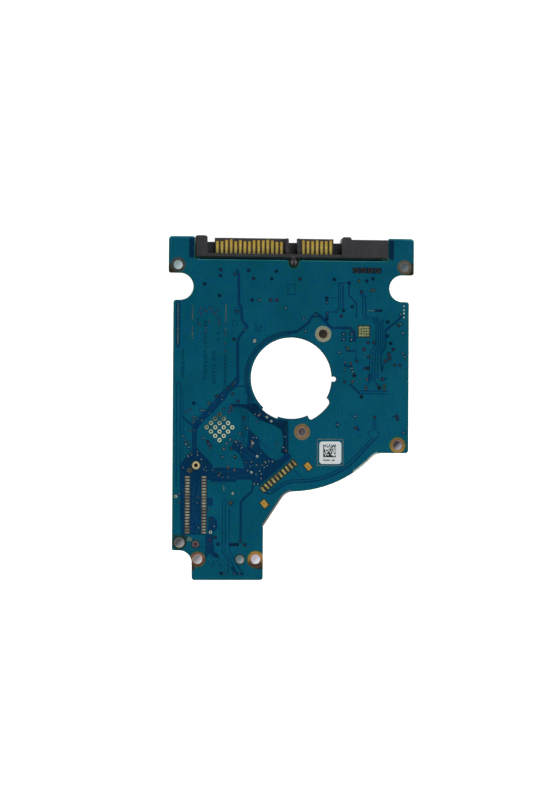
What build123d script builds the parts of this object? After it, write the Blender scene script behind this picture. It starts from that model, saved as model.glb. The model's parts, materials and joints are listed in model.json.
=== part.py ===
from build123d import *
import os

# Logic board of a 2.5-inch hard disk drive, in millimetres.
# Plan coordinates have their origin on the spindle hole's axis: +X to the right and +Y towards the
# connector, looking at the outer (solder) face. Heights are measured from the connector's underside.
# Every finished node is shifted along Y, so that the part's origin is under the middle of its box.

# Board outline
ear_half = 34.0
body_half = 32.65
ear_top = 38.9
ear_bottom = 28.75
notch_half = 26.83
notch_floor = 32.6
side_notch_low = 21.35
side_notch_deep = 27.15
key_slot_x = 0.52
key_slot_width = 2.8
key_slot_end = 30.4
lower_edge = -20.55
leg_left = -27.2
leg_right = -7.6
leg_bottom = -55.64
column_bottom = -51.0
foot_hollow_x = -30.7
foot_hollow_radius = 3.5
platter_arc_radius = 31.25
spindle_radius = 11.2
wide_lobe_radius = 12.7
wide_lobe_span = (-66, -29)
wide_lobe_rounding = (0.7, 1.3)
narrow_lobe_radius = 11.8
narrow_lobe_span = (-133, -109)
lobe_reach = 14
spindle_slot_end = 11.78
spindle_slot_sides = (-0.84, 0.52)

# Heights
mask_thick = 0.05
laminate_thick = 0.70
outer_z = 4.50
laminate_top = outer_z - mask_thick
laminate_low = laminate_top - laminate_thick
inner_z = laminate_low - mask_thick

# Holes: place, hole radius and ring radius
corner_holes = [(-31.4, 31.0, 1.22, 1.95), (31.4, 31.0, 1.22, 1.95)]
middle_holes = [(8.77, 12.3, 1.2, 2.25), (3.06, -14.8, 1.1, 2.2), (29.63, -18.37, 1.25, 2.15)]
tail_holes = [(-25.6, -49.95, 1.28, 2.05), (-9.6, -49.95, 1.28, 2.3)]
locator_holes = [(-26.2, -24.15, 0.53, 1.1), (-26.2, -45.8, 0.35, 0.95)]
bare_holes = [(-30.6, -45.4, 1.3), (-13.93, -50.0, 1.08)]
peg_places = [(-27.87, -25.56), (-27.87, -44.4)]
peg_radius = 0.70
peg_clearance = 0.05
jumper_hole = 0.40
jumper_ring = 0.62
jumper_window = (7.9, 1.35)
plating_wall = 0.17
bare_window_gap = 0.15
pad_gap = 0.07

# Pads on the outer face
head_rows = 20
head_pitch = 0.80
head_columns = [-28.5, -23.94]
head_top_row = -27.4
head_pad = (1.30, 0.42)
service_count = 10
service_pitch = 1.25
service_middle = (-3.37, -27.03)
service_angle = 40.7
service_pad = (0.75, 1.60)
service_hold_down = (1.45, 1.95)
service_hold_down_reach = 7.95
service_hold_down_drop = 3.25
driver_centre = (-19.77, -13.66)
driver_angle = 45
driver_via_pitch = 1.66
driver_via_side = 4
via_ring_radius = 0.57
via_hole_radius = 0.25
ground_pad_centre = (20.11, 13.13)
ground_pad_size = (3.0, 2.9)
ground_via_side = 4
ground_via_pitch = 0.72
ground_via_radius = 0.14

# Serial-ATA connector
housing_half = 26.70
housing_top = 4.9
housing_back = 33.5
blade_wall_front = 34.3
ledge_back = 31.9
ledge_top = 3.3
shelf_front = 37.64
shelf_heights = (0.35, 1.9)
post_front = 39.2
left_post_right = -23.34
tongue_low = 1.37
tongue_top = 2.60
tongue_front = 38.75
power_tongue = (-21.22, -0.81)
signal_tongue = (1.55, 11.74)
key_width = 0.9
key_top = 3.77
jumper_left = 13.91
jumper_post_right = 16.6
jumper_front = 38.44
contact_pitch = 1.27
contact_width = 0.84
contact_thick = 0.20
power_first_x = -20.53
power_count = 15
signal_first_x = 3.36
signal_count = 7
long_blade = 38.4
middle_blade = 38.2
short_blade = 37.85
power_long = (4, 12)
power_middle = (3, 5, 6, 7, 10, 13)
signal_long = (1, 4, 7)
jumper_middle = 20.85
jumper_count = 4
jumper_pin = 0.5
jumper_pitch = 2.0
jumper_tail_y = 30.0
jumper_tail_top = 4.75
jumper_z = 2.3
jumper_pocket = (7.6, 3.9, 4.1)
split_peg_radius = 0.9
split_peg_slit = 0.4
split_peg_arm = (2.4, 3.4)
split_peg_top = 4.7
hold_down_span = (34.0, 37.0)
hold_down_low = 1.2
hold_down_leg = 0.1
hold_down_foot = (2.2, 0.25)

# Spring contact block of the spindle motor
motor_block_centre = (-8.0, -21.5)
motor_block_angle = -20.4
motor_block = (7.6, 4.6, 1.7)
motor_contacts = 4
motor_pitch = 1.7
motor_slot = (1.0, 3.8)
spring_width = 0.8
spring_thick = 0.15
spring_hinge = (-1.55, 0.85)

# Identity label
label_centre = (10.92, -20.5)
label_size = (6.1, 6.2)
label_radius = 0.85
label_thick = 0.08

spindle_y = -(leg_bottom + post_front) / 2


# Helpers

def rect(x0, x1, y0, y1):
    """Flat rectangle between two X and two Y values."""
    return Pos((x0 + x1) / 2, (y0 + y1) / 2) * Rectangle(x1 - x0, y1 - y0)


def box(x0, x1, y0, y1, z0, z1):
    """Solid block between pairs of X, Y and Z values."""
    centre = Pos((x0 + x1) / 2, (y0 + y1) / 2, (z0 + z1) / 2)
    return centre * Box(x1 - x0, y1 - y0, z1 - z0)


def disc(x, y, radius):
    return Pos(x, y) * Circle(radius)


def plate(sketch, low, high):
    """Extrude a plan sketch between two heights."""
    return Pos(0, 0, low) * extrude(sketch, high - low)


def group(shapes):
    """Keep separate solids together as one node."""
    return Compound(children=[solid for shape in shapes for solid in shape.solids()])


def side_profile(points, x, width):
    """Extrude a closed outline of (Y, Z) points along X, centred on x."""
    face = make_face(Polyline(*[(0, y, z) for y, z in points], close=True))
    return Pos(x - width / 2, 0, 0) * extrude(face, width, dir=(1, 0, 0))


def under(x, y, angle=0):
    """Place on the board's inner face, with the piece's own +Z pointing away from the board."""
    return Pos(x, y, inner_z) * Rot(0, 0, angle) * Rot(180, 0, 0)


def placed(shapes, places):
    """Copies of some pieces at each (x, y, angle) on the inner face."""
    return group([under(*place) * shape for place in places for shape in shapes])


# Board

def round_corners(sketch, corners):
    """Round the vertex nearest to each (x, y) with its radius."""
    for x, y, radius in corners:
        corner = sketch.vertices().sort_by_distance((x, y, 0))[0]
        sketch = fillet(corner, radius)
    return sketch


def connector_slot():
    """Round-ended slot in the connector notch, for the housing's split peg."""
    radius = key_slot_width / 2
    left = key_slot_x - radius
    right = key_slot_x + radius
    centre_y = key_slot_end + radius
    return disc(key_slot_x, centre_y, radius) + rect(left, right, centre_y, notch_floor + 1)


def side_notch(side):
    """Half-round notch in a long edge, under the ear."""
    radius = (ear_bottom - side_notch_low) / 2
    centre_y = (ear_bottom + side_notch_low) / 2
    centre_x = side_notch_deep + radius
    outer = rect(centre_x, ear_half + 1, side_notch_low, ear_bottom)
    notch = disc(centre_x, centre_y, radius) + outer
    return notch if side > 0 else mirror(notch, about=Plane.YZ)


def board_outline():
    """Plan of the board without its holes."""
    body = rect(-body_half, body_half, lower_edge, notch_floor)
    ears = [
        rect(-ear_half, -notch_half, ear_bottom, ear_top),
        rect(notch_half, ear_half, ear_bottom, ear_top),
    ]
    column = rect(-body_half, leg_left + 1, column_bottom, lower_edge)
    leg = rect(leg_left, leg_right, leg_bottom, lower_edge)
    arc_side = Circle(platter_arc_radius) & rect(-6, 26, -platter_arc_radius - 1, 0)
    shoulder = make_face(Polyline(
        (leg_right - 1, -40.9), (leg_right, -40.9), (-1.0, -30.79), (-1.0, lower_edge),
        (leg_right - 1, lower_edge), close=True,
    ))
    outline = body + ears + column + leg + arc_side + shoulder
    outline -= disc(foot_hollow_x, column_bottom, foot_hollow_radius)
    outline -= rect(-ear_half, foot_hollow_x, column_bottom - 1, column_bottom + foot_hollow_radius)
    outline -= side_notch(1)
    outline -= side_notch(-1)
    outline -= connector_slot()
    slot_mouth = key_slot_width / 2
    arc_end_x = (platter_arc_radius ** 2 - lower_edge ** 2) ** 0.5
    return round_corners(outline, [
        (-ear_half, ear_top, 0.9), (ear_half, ear_top, 0.9),
        (-notch_half, ear_top, 0.4), (notch_half, ear_top, 0.4),
        (-notch_half, notch_floor, 0.4), (notch_half, notch_floor, 0.4),
        (-ear_half, ear_bottom, 0.6), (ear_half, ear_bottom, 0.6),
        (-body_half, side_notch_low, 0.7), (body_half, side_notch_low, 0.7),
        (key_slot_x - slot_mouth, notch_floor, 0.45), (key_slot_x + slot_mouth, notch_floor, 0.45),
        (body_half, lower_edge, 0.8), (leg_left, leg_bottom, 0.7), (leg_right, leg_bottom, 0.7),
        (-body_half, column_bottom + foot_hollow_radius, 0.5), (-1.3, -31.2, 4),
        (arc_end_x, lower_edge, 4),
    ])


def spindle_opening():
    """Round opening with two shallow side lobes and a small slot."""
    wide_lobe = Circle(wide_lobe_radius) & sector(*wide_lobe_span, lobe_reach)
    for corner, rounding in zip((1, -1), wide_lobe_rounding):
        wide_lobe = fillet(wide_lobe.vertices().sort_by(Axis.X)[corner], rounding)
    narrow_lobe = Circle(narrow_lobe_radius) & sector(*narrow_lobe_span, lobe_reach)
    low, high = spindle_slot_sides
    slot = rect(0, spindle_slot_end, low, high)
    slot += disc(spindle_slot_end, (low + high) / 2, (high - low) / 2)
    return Circle(spindle_radius) + wide_lobe + narrow_lobe + slot


def sector(start, end, reach):
    """Triangle from the spindle's axis between two directions in degrees."""
    tips = [Vector(reach, 0).rotate(Axis.Z, angle) for angle in (start, end)]
    return make_face(Polyline((0, 0), *[(tip.X, tip.Y) for tip in tips], close=True))


def plated_holes():
    return corner_holes + middle_holes + tail_holes + locator_holes


def jumper_holes():
    return [(x, jumper_tail_y, jumper_hole, jumper_ring) for x in jumper_xs()]


def pierced(outline, windows):
    """Cut windows out of an outline: first those that reach its edge, then the inner ones."""
    edge = outline.face().outer_wire()
    inner = [window for window in windows if window.distance_to(edge) > 0]
    for window in windows:
        if window not in inner:
            outline -= window
    return outline.face().make_holes([window.face().outer_wire() for window in inner])


def board_laminate(outline):
    """Laminate with the holes that pass through it, wide enough for their plating."""
    plated = plated_holes() + jumper_holes()
    holes = [disc(x, y, hole + plating_wall) for x, y, hole, ring in plated]
    holes += [disc(x, y, hole) for x, y, hole in bare_holes]
    return plate(pierced(outline, holes + common_openings()), laminate_low, laminate_top)


def common_openings():
    """Openings with the same outline in the laminate and in both masks."""
    return [spindle_opening()] + [disc(x, y, peg_radius + peg_clearance) for x, y in peg_places]


def ring_windows():
    """What both masks leave open around the plated rings, the jumper tails and the bare holes."""
    windows = [disc(x, y, ring + pad_gap) for x, y, hole, ring in plated_holes()]
    windows += [Pos(jumper_middle, jumper_tail_y) * SlotOverall(*jumper_window)]
    return windows + [disc(x, y, hole + bare_window_gap) for x, y, hole in bare_holes]


def solder_mask_inner(outline):
    return plate(pierced(outline, ring_windows() + common_openings()), inner_z, laminate_low)


def solder_mask_outer(outline):
    """Outer mask, open around every pad."""
    windows = [grown_pad(place, head_pad) for place in head_pad_places()]
    windows += [grown_pad(place, service_pad) for place in service_places()]
    windows += [grown_pad(place, service_hold_down) for place in hold_down_places()]
    windows += [grown_pad(Pos(*ground_pad_centre), ground_pad_size)]
    windows += [disc(x, y, via_ring_radius + pad_gap) for x, y in driver_via_places()]
    windows += ring_windows() + common_openings()
    return plate(pierced(outline, windows), laminate_top, outer_z)


def grown_pad(place, size):
    return place * Rectangle(size[0] + 2 * pad_gap, size[1] + 2 * pad_gap)


def hole_plating(holes, outline):
    """Copper eyelets: a barrel with a ring on each face, trimmed to the board's edge."""
    eyelets = []
    for x, y, hole, ring in holes:
        flange = (disc(x, y, ring) & outline) - disc(x, y, hole)
        barrel = disc(x, y, hole + plating_wall) - disc(x, y, hole)
        eyelet = plate(barrel, inner_z, outer_z)
        eyelet += plate(flange, laminate_top, outer_z)
        eyelet += plate(flange, inner_z, laminate_low)
        eyelets.append(eyelet)
    return group(eyelets)


# Pads on the outer face

def head_pad_places():
    rows = [head_top_row - head_pitch * row for row in range(head_rows)]
    return [Pos(x, y) for x in head_columns for y in rows]


def service_row():
    return Pos(*service_middle) * Rot(0, 0, service_angle)


def service_places():
    first = -service_pitch * (service_count - 1) / 2
    return [service_row() * Pos(first + service_pitch * i, 0) for i in range(service_count)]


def hold_down_places():
    reach = service_hold_down_reach
    return [service_row() * Pos(side * reach, -service_hold_down_drop) for side in (-1, 1)]


def driver_via_places():
    """Plan points of the square lattice under the motor driver."""
    lattice = GridLocations(driver_via_pitch, driver_via_pitch, driver_via_side, driver_via_side)
    turned = Pos(*driver_centre) * Rot(0, 0, driver_angle)
    points = [(turned * spot).position for spot in lattice]
    return [(point.X, point.Y) for point in points]


def flat_pads(places, size):
    return group([plate(place * Rectangle(*size), laminate_top, outer_z) for place in places])


def driver_thermal_pads():
    ring = Circle(via_ring_radius) - Circle(via_hole_radius)
    return group([plate(Pos(x, y) * ring, laminate_top, outer_z) for x, y in driver_via_places()])


def controller_ground_pad():
    pad = Rectangle(*ground_pad_size)
    grid = GridLocations(ground_via_pitch, ground_via_pitch, ground_via_side, ground_via_side)
    pad -= [spot * Circle(ground_via_radius) for spot in grid]
    return plate(Pos(*ground_pad_centre) * pad, laminate_top, outer_z)


def id_label():
    paper = Pos(*label_centre) * RectangleRounded(*label_size, label_radius)
    return plate(paper, outer_z, outer_z + label_thick)


# Serial-ATA connector

def contact(x, front):
    """Blade on the tongue, with a tail that bends up to the board's inner face."""
    top = tongue_top + 0.03
    low = top - contact_thick
    foot = inner_z - contact_thick
    outline = [
        (front, low), (front, top - 0.08), (front - 0.12, top), (ledge_back - 0.2, top),
        (31.15, inner_z), (29.9, inner_z), (29.9, foot), (31.02, foot), (31.55, low),
    ]
    return side_profile(outline, x, contact_width)


def power_contacts():
    """Contacts 15 to 1, counted from the left post."""
    blades = []
    for i in range(power_count):
        number = power_count - i
        front = long_blade if number in power_long else short_blade
        front = middle_blade if number in power_middle else front
        blades.append(contact(power_first_x + contact_pitch * i, front))
    return group(blades)


def signal_contacts():
    """Contacts 7 to 1, counted from the key."""
    blades = []
    for i in range(signal_count):
        number = signal_count - i
        front = long_blade if number in signal_long else middle_blade
        blades.append(contact(signal_first_x + contact_pitch * i, front))
    return group(blades)


def jumper_xs():
    return [jumper_middle + jumper_pitch * (i - (jumper_count - 1) / 2) for i in range(jumper_count)]


def jumper_pins():
    """Square pins in one row, each bent up behind the housing and through the board."""
    pins = []
    half = jumper_pin / 2
    rear = jumper_tail_y - half
    for x in jumper_xs():
        shank = box(x - half, x + half, rear, 38.0, jumper_z - half, jumper_z + half)
        shank = chamfer(shank.faces().sort_by(Axis.Y)[-1].edges(), 0.12)
        tail = box(x - half, x + half, rear, rear + jumper_pin, jumper_z - half, jumper_tail_top)
        tail = chamfer(tail.faces().sort_by(Axis.Z)[-1].edges(), 0.12)
        pins.append(shank + tail)
    return group(pins)


def tongue(left, right, key_left):
    """Blade-shaped tongue with a chamfered tip and its polarising key."""
    blade = box(left, right, blade_wall_front - 0.2, tongue_front, tongue_low, tongue_top)
    tip = blade.faces().sort_by(Axis.Y)[-1].edges().filter_by(Axis.X)
    blade = chamfer(tip, 0.3)
    key = box(key_left, key_left + key_width, blade_wall_front - 0.2, tongue_front, tongue_top, key_top)
    key = chamfer(key.faces().sort_by(Axis.Y)[-1].edges(), 0.25)
    return blade + key


def guide_post(left, right):
    """Full-height post with a rounded, tapered nose."""
    post = box(left, right, housing_back, post_front, 0, housing_top)
    post = fillet(post.faces().sort_by(Axis.Y)[-1].edges().filter_by(Axis.Z), 0.7)
    return chamfer(post.faces().sort_by(Axis.Y)[-1].edges().filter_by(Axis.X), 0.35)


def split_peg():
    """Arm under the board with a slit peg standing in the board's key slot."""
    radius = split_peg_radius
    half_slit = split_peg_slit / 2
    arm_low, arm_top = split_peg_arm
    peg_y = key_slot_end + key_slot_width / 2
    left = key_slot_x - radius
    right = key_slot_x + radius
    arm = box(left, right, peg_y - radius, housing_back, arm_low, arm_top)
    legs = plate(disc(key_slot_x, peg_y, radius), arm_top, split_peg_top)
    slit_low = arm_top + 0.2
    legs -= box(key_slot_x - half_slit, key_slot_x + half_slit, peg_y - 2, peg_y + 2, slit_low, 5)
    return arm + legs


def connector_housing(inserts):
    """One moulding: rear wall, ledge, posts, shelves, tongues, jumper block and peg."""
    wall = box(-housing_half, housing_half, housing_back, blade_wall_front, 0, housing_top - 0.5)
    ledge = box(-25.2, 25.2, ledge_back, housing_back, 0.5, ledge_top)
    shelves = [
        box(left_post_right - 0.1, power_tongue[0] + 0.1, housing_back, shelf_front, *shelf_heights),
        box(power_tongue[1] - 0.1, signal_tongue[0] + 0.1, housing_back, shelf_front, *shelf_heights),
        box(signal_tongue[1] - 0.1, jumper_left + 0.1, housing_back, shelf_front, *shelf_heights),
    ]
    jumper_block = box(jumper_left, housing_half, housing_back, jumper_front, 0, housing_top)
    width, height, depth = jumper_pocket
    pocket = Pos(jumper_middle, jumper_front - depth / 2, jumper_z) * Box(width, depth, height)
    body = wall + ledge + shelves + jumper_block
    body += guide_post(-housing_half, left_post_right)
    body += guide_post(jumper_left, jumper_post_right)
    body += tongue(*power_tongue, power_tongue[1] - key_width)
    body += tongue(*signal_tongue, signal_tongue[0])
    body += split_peg()
    return body - pocket - inserts


def connector_hold_downs():
    """Bent tabs between the housing's ends and the undersides of the ears."""
    start, end = hold_down_span
    reach, thick = hold_down_foot
    leg = box(housing_half, housing_half + hold_down_leg, start, end, hold_down_low, inner_z)
    tab = leg + box(housing_half, housing_half + reach, start, end, inner_z - thick, inner_z)
    return group([tab, mirror(tab, about=Plane.YZ)])


# Packages on the inner face, drawn face up on Z = 0

def moulded_body(length, width, low, high, pin_mark=True):
    """Moulded package with draft above and below its parting line and a pin-one dimple."""
    middle = (low + high) / 2
    outline = Rectangle(length, width)
    body = Pos(0, 0, middle) * extrude(outline, high - middle, taper=8)
    body += Pos(0, 0, middle) * extrude(outline, low - middle, taper=8)
    if pin_mark:
        body -= Pos(0.8 - length / 2, 0.8 - width / 2, high) * Cylinder(0.35, 0.1)
    return body


def gull_lead(width, body_height, reach, thick=0.13):
    """Lead from X = 0 at the body's parting line down to a foot on Z = 0."""
    shoulder = reach * 0.22
    toe = reach * 0.45
    top = body_height + thick / 2
    low = body_height - thick / 2
    points = [
        (0, low), (0, top), (shoulder + thick, top), (toe + thick, thick), (reach, thick),
        (reach, 0), (toe, 0), (shoulder, low),
    ]
    face = make_face(Polyline(*[(x, 0, z) for x, z in points], close=True))
    return Pos(0, -width / 2, 0) * extrude(face, width, dir=(0, 1, 0))


def lead_rows(half_body, count, pitch, lead, angles):
    """A row of leads on each side of a package named by its direction."""
    leads = []
    for angle in angles:
        for i in range(count):
            along = pitch * (i - (count - 1) / 2)
            leads.append(Rot(0, 0, angle) * Pos(half_body, along, 0) * lead)
    return leads


class Package:
    """Moulded package with its leads; the sizes are those of the plastic body."""

    def __init__(self, length, width, height, count, pitch, lead_width, reach, sides):
        low = 0.1
        middle = (low + height) / 2
        self.body = moulded_body(length, width, low, height)
        lead = gull_lead(lead_width, middle, reach)
        half_body = {0: length / 2, 180: length / 2, 90: width / 2, 270: width / 2}
        self.leads = []
        for side in sides:
            self.leads += lead_rows(half_body[side], count, pitch, lead, [side])


def chip_part(length, width, height, cap):
    """Ceramic block with a wrap-round terminal at each end: returns body and terminals."""
    half = length / 2
    body = box(cap - half, half - cap, -width / 2 + 0.02, width / 2 - 0.02, 0.03, height - 0.03)
    ends = [
        box(-half, cap - half, -width / 2, width / 2, 0, height),
        box(half - cap, half, -width / 2, width / 2, 0, height),
    ]
    return body, [fillet(end.edges().filter_by(Axis.Y), min(0.06, height / 8)) for end in ends]


def power_inductor():
    """Shielded drum inductor: square shield, drum core, winding and two end terminals."""
    size = 5.0
    height = 2.0
    shield = extrude(RectangleRounded(size, size, 0.7) - Circle(2.2), height - 0.1)
    shield = Pos(0, 0, 0.1) * shield
    core = Pos(0, 0, 0.1) * extrude(Circle(2.1), 0.25)
    core += Pos(0, 0, 0.35) * extrude(Circle(1.0), 1.2)
    core += Pos(0, 0, 1.55) * extrude(Circle(2.1), 0.4)
    winding = Pos(0, 0, 0.40) * extrude(Circle(1.9) - Circle(1.0), 1.1)
    terminals = [box(side * 1.9 - 0.5, side * 1.9 + 0.5, -1.5, 1.5, 0, 0.1) for side in (-1, 1)]
    return shield, core, winding, terminals


# Places on the inner face: x, y and angle

controller_place = [(*ground_pad_centre, 0)]
cache_place = [(-8.5, 22.5, 0)]
driver_place = [(*driver_centre, driver_angle)]
flash_place = [(25.5, -2.3, 0)]
crystal_place = [(16.0, -14.5, 0)]
shock_places = [(7.5, -25.2, 16), (-26.0, -1.2, 45)]
inductor_places = [(25.0, -11.6, 0), (-26.6, 13.0, 90)]
diode_places = [(-23.4, 27.2, 90), (-23.4, 20.4, 90)]
transistor_places = [(-26.8, 7.6, 0), (-26.8, 3.8, 0)]
large_capacitor_places = [(x, 11.6, 90) for x in (-20.8, -18.2, -15.6)]
large_capacitor_places += [(20.6, -17.6, 0), (20.6, -10.2, 90)]
small_capacitor_places = [(14.0 + 2.4 * i, 23.2, 90) for i in range(6)]
small_capacitor_places += [(17.0 + 2.4 * i, 2.9, 90) for i in range(5)]
small_capacitor_places += [(30.4, 6.4 + 2.8 * i, 0) for i in range(5)]
small_capacitor_places += [(-17.0 + 3.2 * i, 14.4, 0) for i in range(5)]
resistor_places = [(-20.4, -27.5 - 1.8 * i, 0) for i in range(10)]
resistor_places += [(-16.5, -31.0 - 1.8 * i, 0) for i in range(8)]
resistor_places += [(10.0 + 1.8 * i, 27.4, 90) for i in range(5)]
resistor_places += [(-29.8, -4.0 - 1.8 * i, 0) for i in range(5)]


def crystal():
    """Ceramic base and a metal lid with rounded upper edges."""
    base = Pos(0, 0, 0.25) * Box(5.0, 3.2, 0.5)
    lid = Pos(0, 0, 0.5) * extrude(RectangleRounded(4.6, 2.8, 0.4), 0.5)
    lid = fillet(lid.faces().sort_by(Axis.Z)[-1].edges(), 0.12)
    return base, lid


# Head connector, on the inner face behind its two columns of pads

head_middle_y = (peg_places[0][1] + peg_places[1][1]) / 2
head_middle_x = sum(head_columns) / 2
head_body = (4.2, 20.4, 2.4)


def head_connector_housing():
    """Receptacle with a central island; two pegs go through the board."""
    width, length, height = head_body
    shell = Pos(0, 0, height / 2) * Box(width, length, height)
    channel = Pos(0, 0, height / 2 + 0.3) * Box(2.9, length - 2.2, height - 0.6)
    island = Pos(0, 0, 0.9) * Box(1.3, length - 3.6, 1.6)
    body = chamfer(shell.faces().sort_by(Axis.Z)[-1].edges(), 0.2) - channel + island
    body = under(head_middle_x, head_middle_y) * body
    pegs = [plate(disc(x, y, peg_radius), inner_z - 0.1, outer_z - 0.05) for x, y in peg_places]
    return body + pegs - head_connector_contacts().solids()


def head_connector_contacts():
    """Contacts bent up between the island and the shell, with feet outside the shell."""
    points = [
        (0.72, 0.2), (0.72, 1.5), (0.84, 1.62), (0.96, 1.5), (0.96, 0.32), (2.75, 0.15),
        (2.75, 0), (0.90, 0.1),
    ]
    face = make_face(Polyline(*[(x, 0, z) for x, z in points], close=True))
    strip = Pos(0, -0.15, 0) * extrude(face, 0.3, dir=(0, 1, 0))
    rows = GridLocations(0, head_pitch, 1, head_rows)
    sides = [Rot(0, 0, turn) * spot * strip for turn in (0, 180) for spot in rows]
    return placed(sides, [(head_middle_x, head_middle_y, 0)])


def head_connector_tabs():
    """Soldered tabs at the right-hand side of the shell's two ends."""
    half = head_body[1] / 2
    tabs = []
    for side in (-1, 1):
        low = min(side * (half - 0.9), side * (half - 0.1))
        foot = box(2.1, 3.0, low, low + 0.8, 0, 0.2)
        tabs.append(foot + box(2.1, 2.3, low, low + 0.8, 0, 1.2))
    return placed(tabs, [(head_middle_x, head_middle_y, 0)])


# Spring contact block of the spindle motor, drawn face up with the springs along +Y

motor_xs = [motor_pitch * (i - (motor_contacts - 1) / 2) for i in range(motor_contacts)]
motor_place = (*motor_block_centre, motor_block_angle)


def motor_tail(x):
    """Fixed tail: a foot outside the block that rises inside the slot to the hinge line."""
    hinge_y, hinge_z = spring_hinge
    points = [
        (-3.2, 0), (-3.2, 0.15), (-2.6, 0.15), (-2.35, 0.5), (hinge_y - 0.1, 0.5),
        (hinge_y - 0.1, hinge_z - 0.08), (hinge_y + 0.05, hinge_z - 0.08), (hinge_y + 0.05, 0.35),
        (-2.25, 0.35), (-2.5, 0),
    ]
    return side_profile(points, x, spring_width)


def motor_spring(x):
    """Springy arm: it slopes up from the hinge line to a rounded crown and a turned-down tip."""
    hinge_y, hinge_z = spring_hinge
    points = [
        (hinge_y - 0.05, hinge_z), (0.85, 2.02), (1.12, 2.06), (1.36, 1.92), (1.62, 1.5),
        (1.74, 1.58), (1.50, 2.04), (1.18, 2.2), (0.80, 2.16), (hinge_y - 0.1, hinge_z + spring_thick),
    ]
    return under(*motor_place) * side_profile(points, x, spring_width)


def motor_contact_block():
    """Plastic block with one open slot for each spring."""
    length, depth, height = motor_block
    body = Pos(0, 0, height / 2) * Box(length, depth, height)
    body = chamfer(body.faces().sort_by(Axis.Z)[-1].edges(), 0.2)
    for x in motor_xs:
        body -= Pos(x, 0, 0.3 + height / 2) * Box(motor_slot[0], motor_slot[1], height)
        body -= motor_tail(x)
    return under(*motor_place) * body


# Nodes

outline = board_outline()
controller = Package(14.0, 14.0, 1.5, 32, 0.4, 0.18, 1.0, (0, 90, 180, 270))
cache = Package(22.2, 10.16, 1.2, 27, 0.8, 0.32, 0.8, (90, 270))
driver = Package(10.0, 10.0, 1.2, 16, 0.5, 0.22, 1.0, (0, 90, 180, 270))
flash = Package(4.9, 3.9, 1.6, 4, 1.27, 0.4, 1.05, (90, 270))
transistor = Package(2.9, 1.6, 1.0, 3, 0.95, 0.4, 0.6, (90, 270))
diode = Package(4.2, 2.6, 1.7, 1, 1.0, 1.4, 0.5, (0, 180))
shock_body, shock_ends = chip_part(3.6, 2.8, 1.2, 0.35)
large_body, large_ends = chip_part(3.2, 1.6, 1.5, 0.5)
small_body, small_ends = chip_part(1.6, 0.8, 0.8, 0.3)
resistor_body, resistor_ends = chip_part(1.0, 0.5, 0.35, 0.2)
crystal_base, crystal_lid = crystal()
inductor_shield, inductor_core, inductor_winding, inductor_ends = power_inductor()
inserts = [power_contacts(), signal_contacts(), jumper_pins()]

nodes = {
    "board_laminate": board_laminate(outline),
    "solder_mask_outer": solder_mask_outer(outline),
    "solder_mask_inner": solder_mask_inner(outline),
    "corner_hole_plating": hole_plating(corner_holes, outline),
    "middle_hole_plating": hole_plating(middle_holes, outline),
    "tail_hole_plating": hole_plating(tail_holes, outline),
    "locator_hole_plating": hole_plating(locator_holes, outline),
    "jumper_hole_plating": hole_plating(jumper_holes(), outline),
    "head_test_pads": flat_pads(head_pad_places(), head_pad),
    "service_pads": flat_pads(service_places(), service_pad),
    "service_hold_down_pads": flat_pads(hold_down_places(), service_hold_down),
    "driver_thermal_pads": driver_thermal_pads(),
    "controller_ground_pad": controller_ground_pad(),
    "id_label": id_label(),
    "connector_housing": connector_housing([solid for insert in inserts for solid in insert.solids()]),
    "power_contacts": inserts[0],
    "signal_contacts": inserts[1],
    "jumper_pins": inserts[2],
    "connector_hold_downs": connector_hold_downs(),
    "controller_chip": placed([controller.body], controller_place),
    "controller_leads": placed(controller.leads, controller_place),
    "cache_memory_chip": placed([cache.body], cache_place),
    "cache_memory_leads": placed(cache.leads, cache_place),
    "motor_driver_chip": placed([driver.body], driver_place),
    "motor_driver_leads": placed(driver.leads, driver_place),
    "boot_flash_chip": placed([flash.body], flash_place),
    "boot_flash_leads": placed(flash.leads, flash_place),
    "crystal_base": placed([crystal_base], crystal_place),
    "crystal_lid": placed([crystal_lid], crystal_place),
    "shock_sensors": placed([shock_body], shock_places),
    "shock_sensor_terminals": placed(shock_ends, shock_places),
    "power_inductor_shields": placed([inductor_shield], inductor_places),
    "power_inductor_cores": placed([inductor_core], inductor_places),
    "power_inductor_windings": placed([inductor_winding], inductor_places),
    "power_inductor_terminals": placed(inductor_ends, inductor_places),
    "transient_diodes": placed([diode.body], diode_places),
    "transient_diode_leads": placed(diode.leads, diode_places),
    "power_transistors": placed([transistor.body], transistor_places),
    "power_transistor_leads": placed(transistor.leads, transistor_places),
    "large_capacitors": placed([large_body], large_capacitor_places),
    "large_capacitor_terminals": placed(large_ends, large_capacitor_places),
    "small_capacitors": placed([small_body], small_capacitor_places),
    "small_capacitor_terminals": placed(small_ends, small_capacitor_places),
    "chip_resistors": placed([resistor_body], resistor_places),
    "chip_resistor_terminals": placed(resistor_ends, resistor_places),
    "head_connector_housing": head_connector_housing(),
    "head_connector_contacts": head_connector_contacts(),
    "head_connector_tabs": head_connector_tabs(),
    "motor_contact_block": motor_contact_block(),
    "motor_contact_tails": placed([motor_tail(x) for x in motor_xs], [motor_place]),
}
for number, x in enumerate(motor_xs, start=1):
    nodes[f"motor_contact_spring_{number}"] = motor_spring(x)

os.makedirs("parts", exist_ok=True)
for name, shape in nodes.items():
    export_step(Pos(0, spindle_y, 0) * shape, f"parts/{name}.step")
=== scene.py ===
import json
import math
import random

import bpy
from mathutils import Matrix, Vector
from mathutils.geometry import convex_hull_2d, tessellate_polygon


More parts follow.
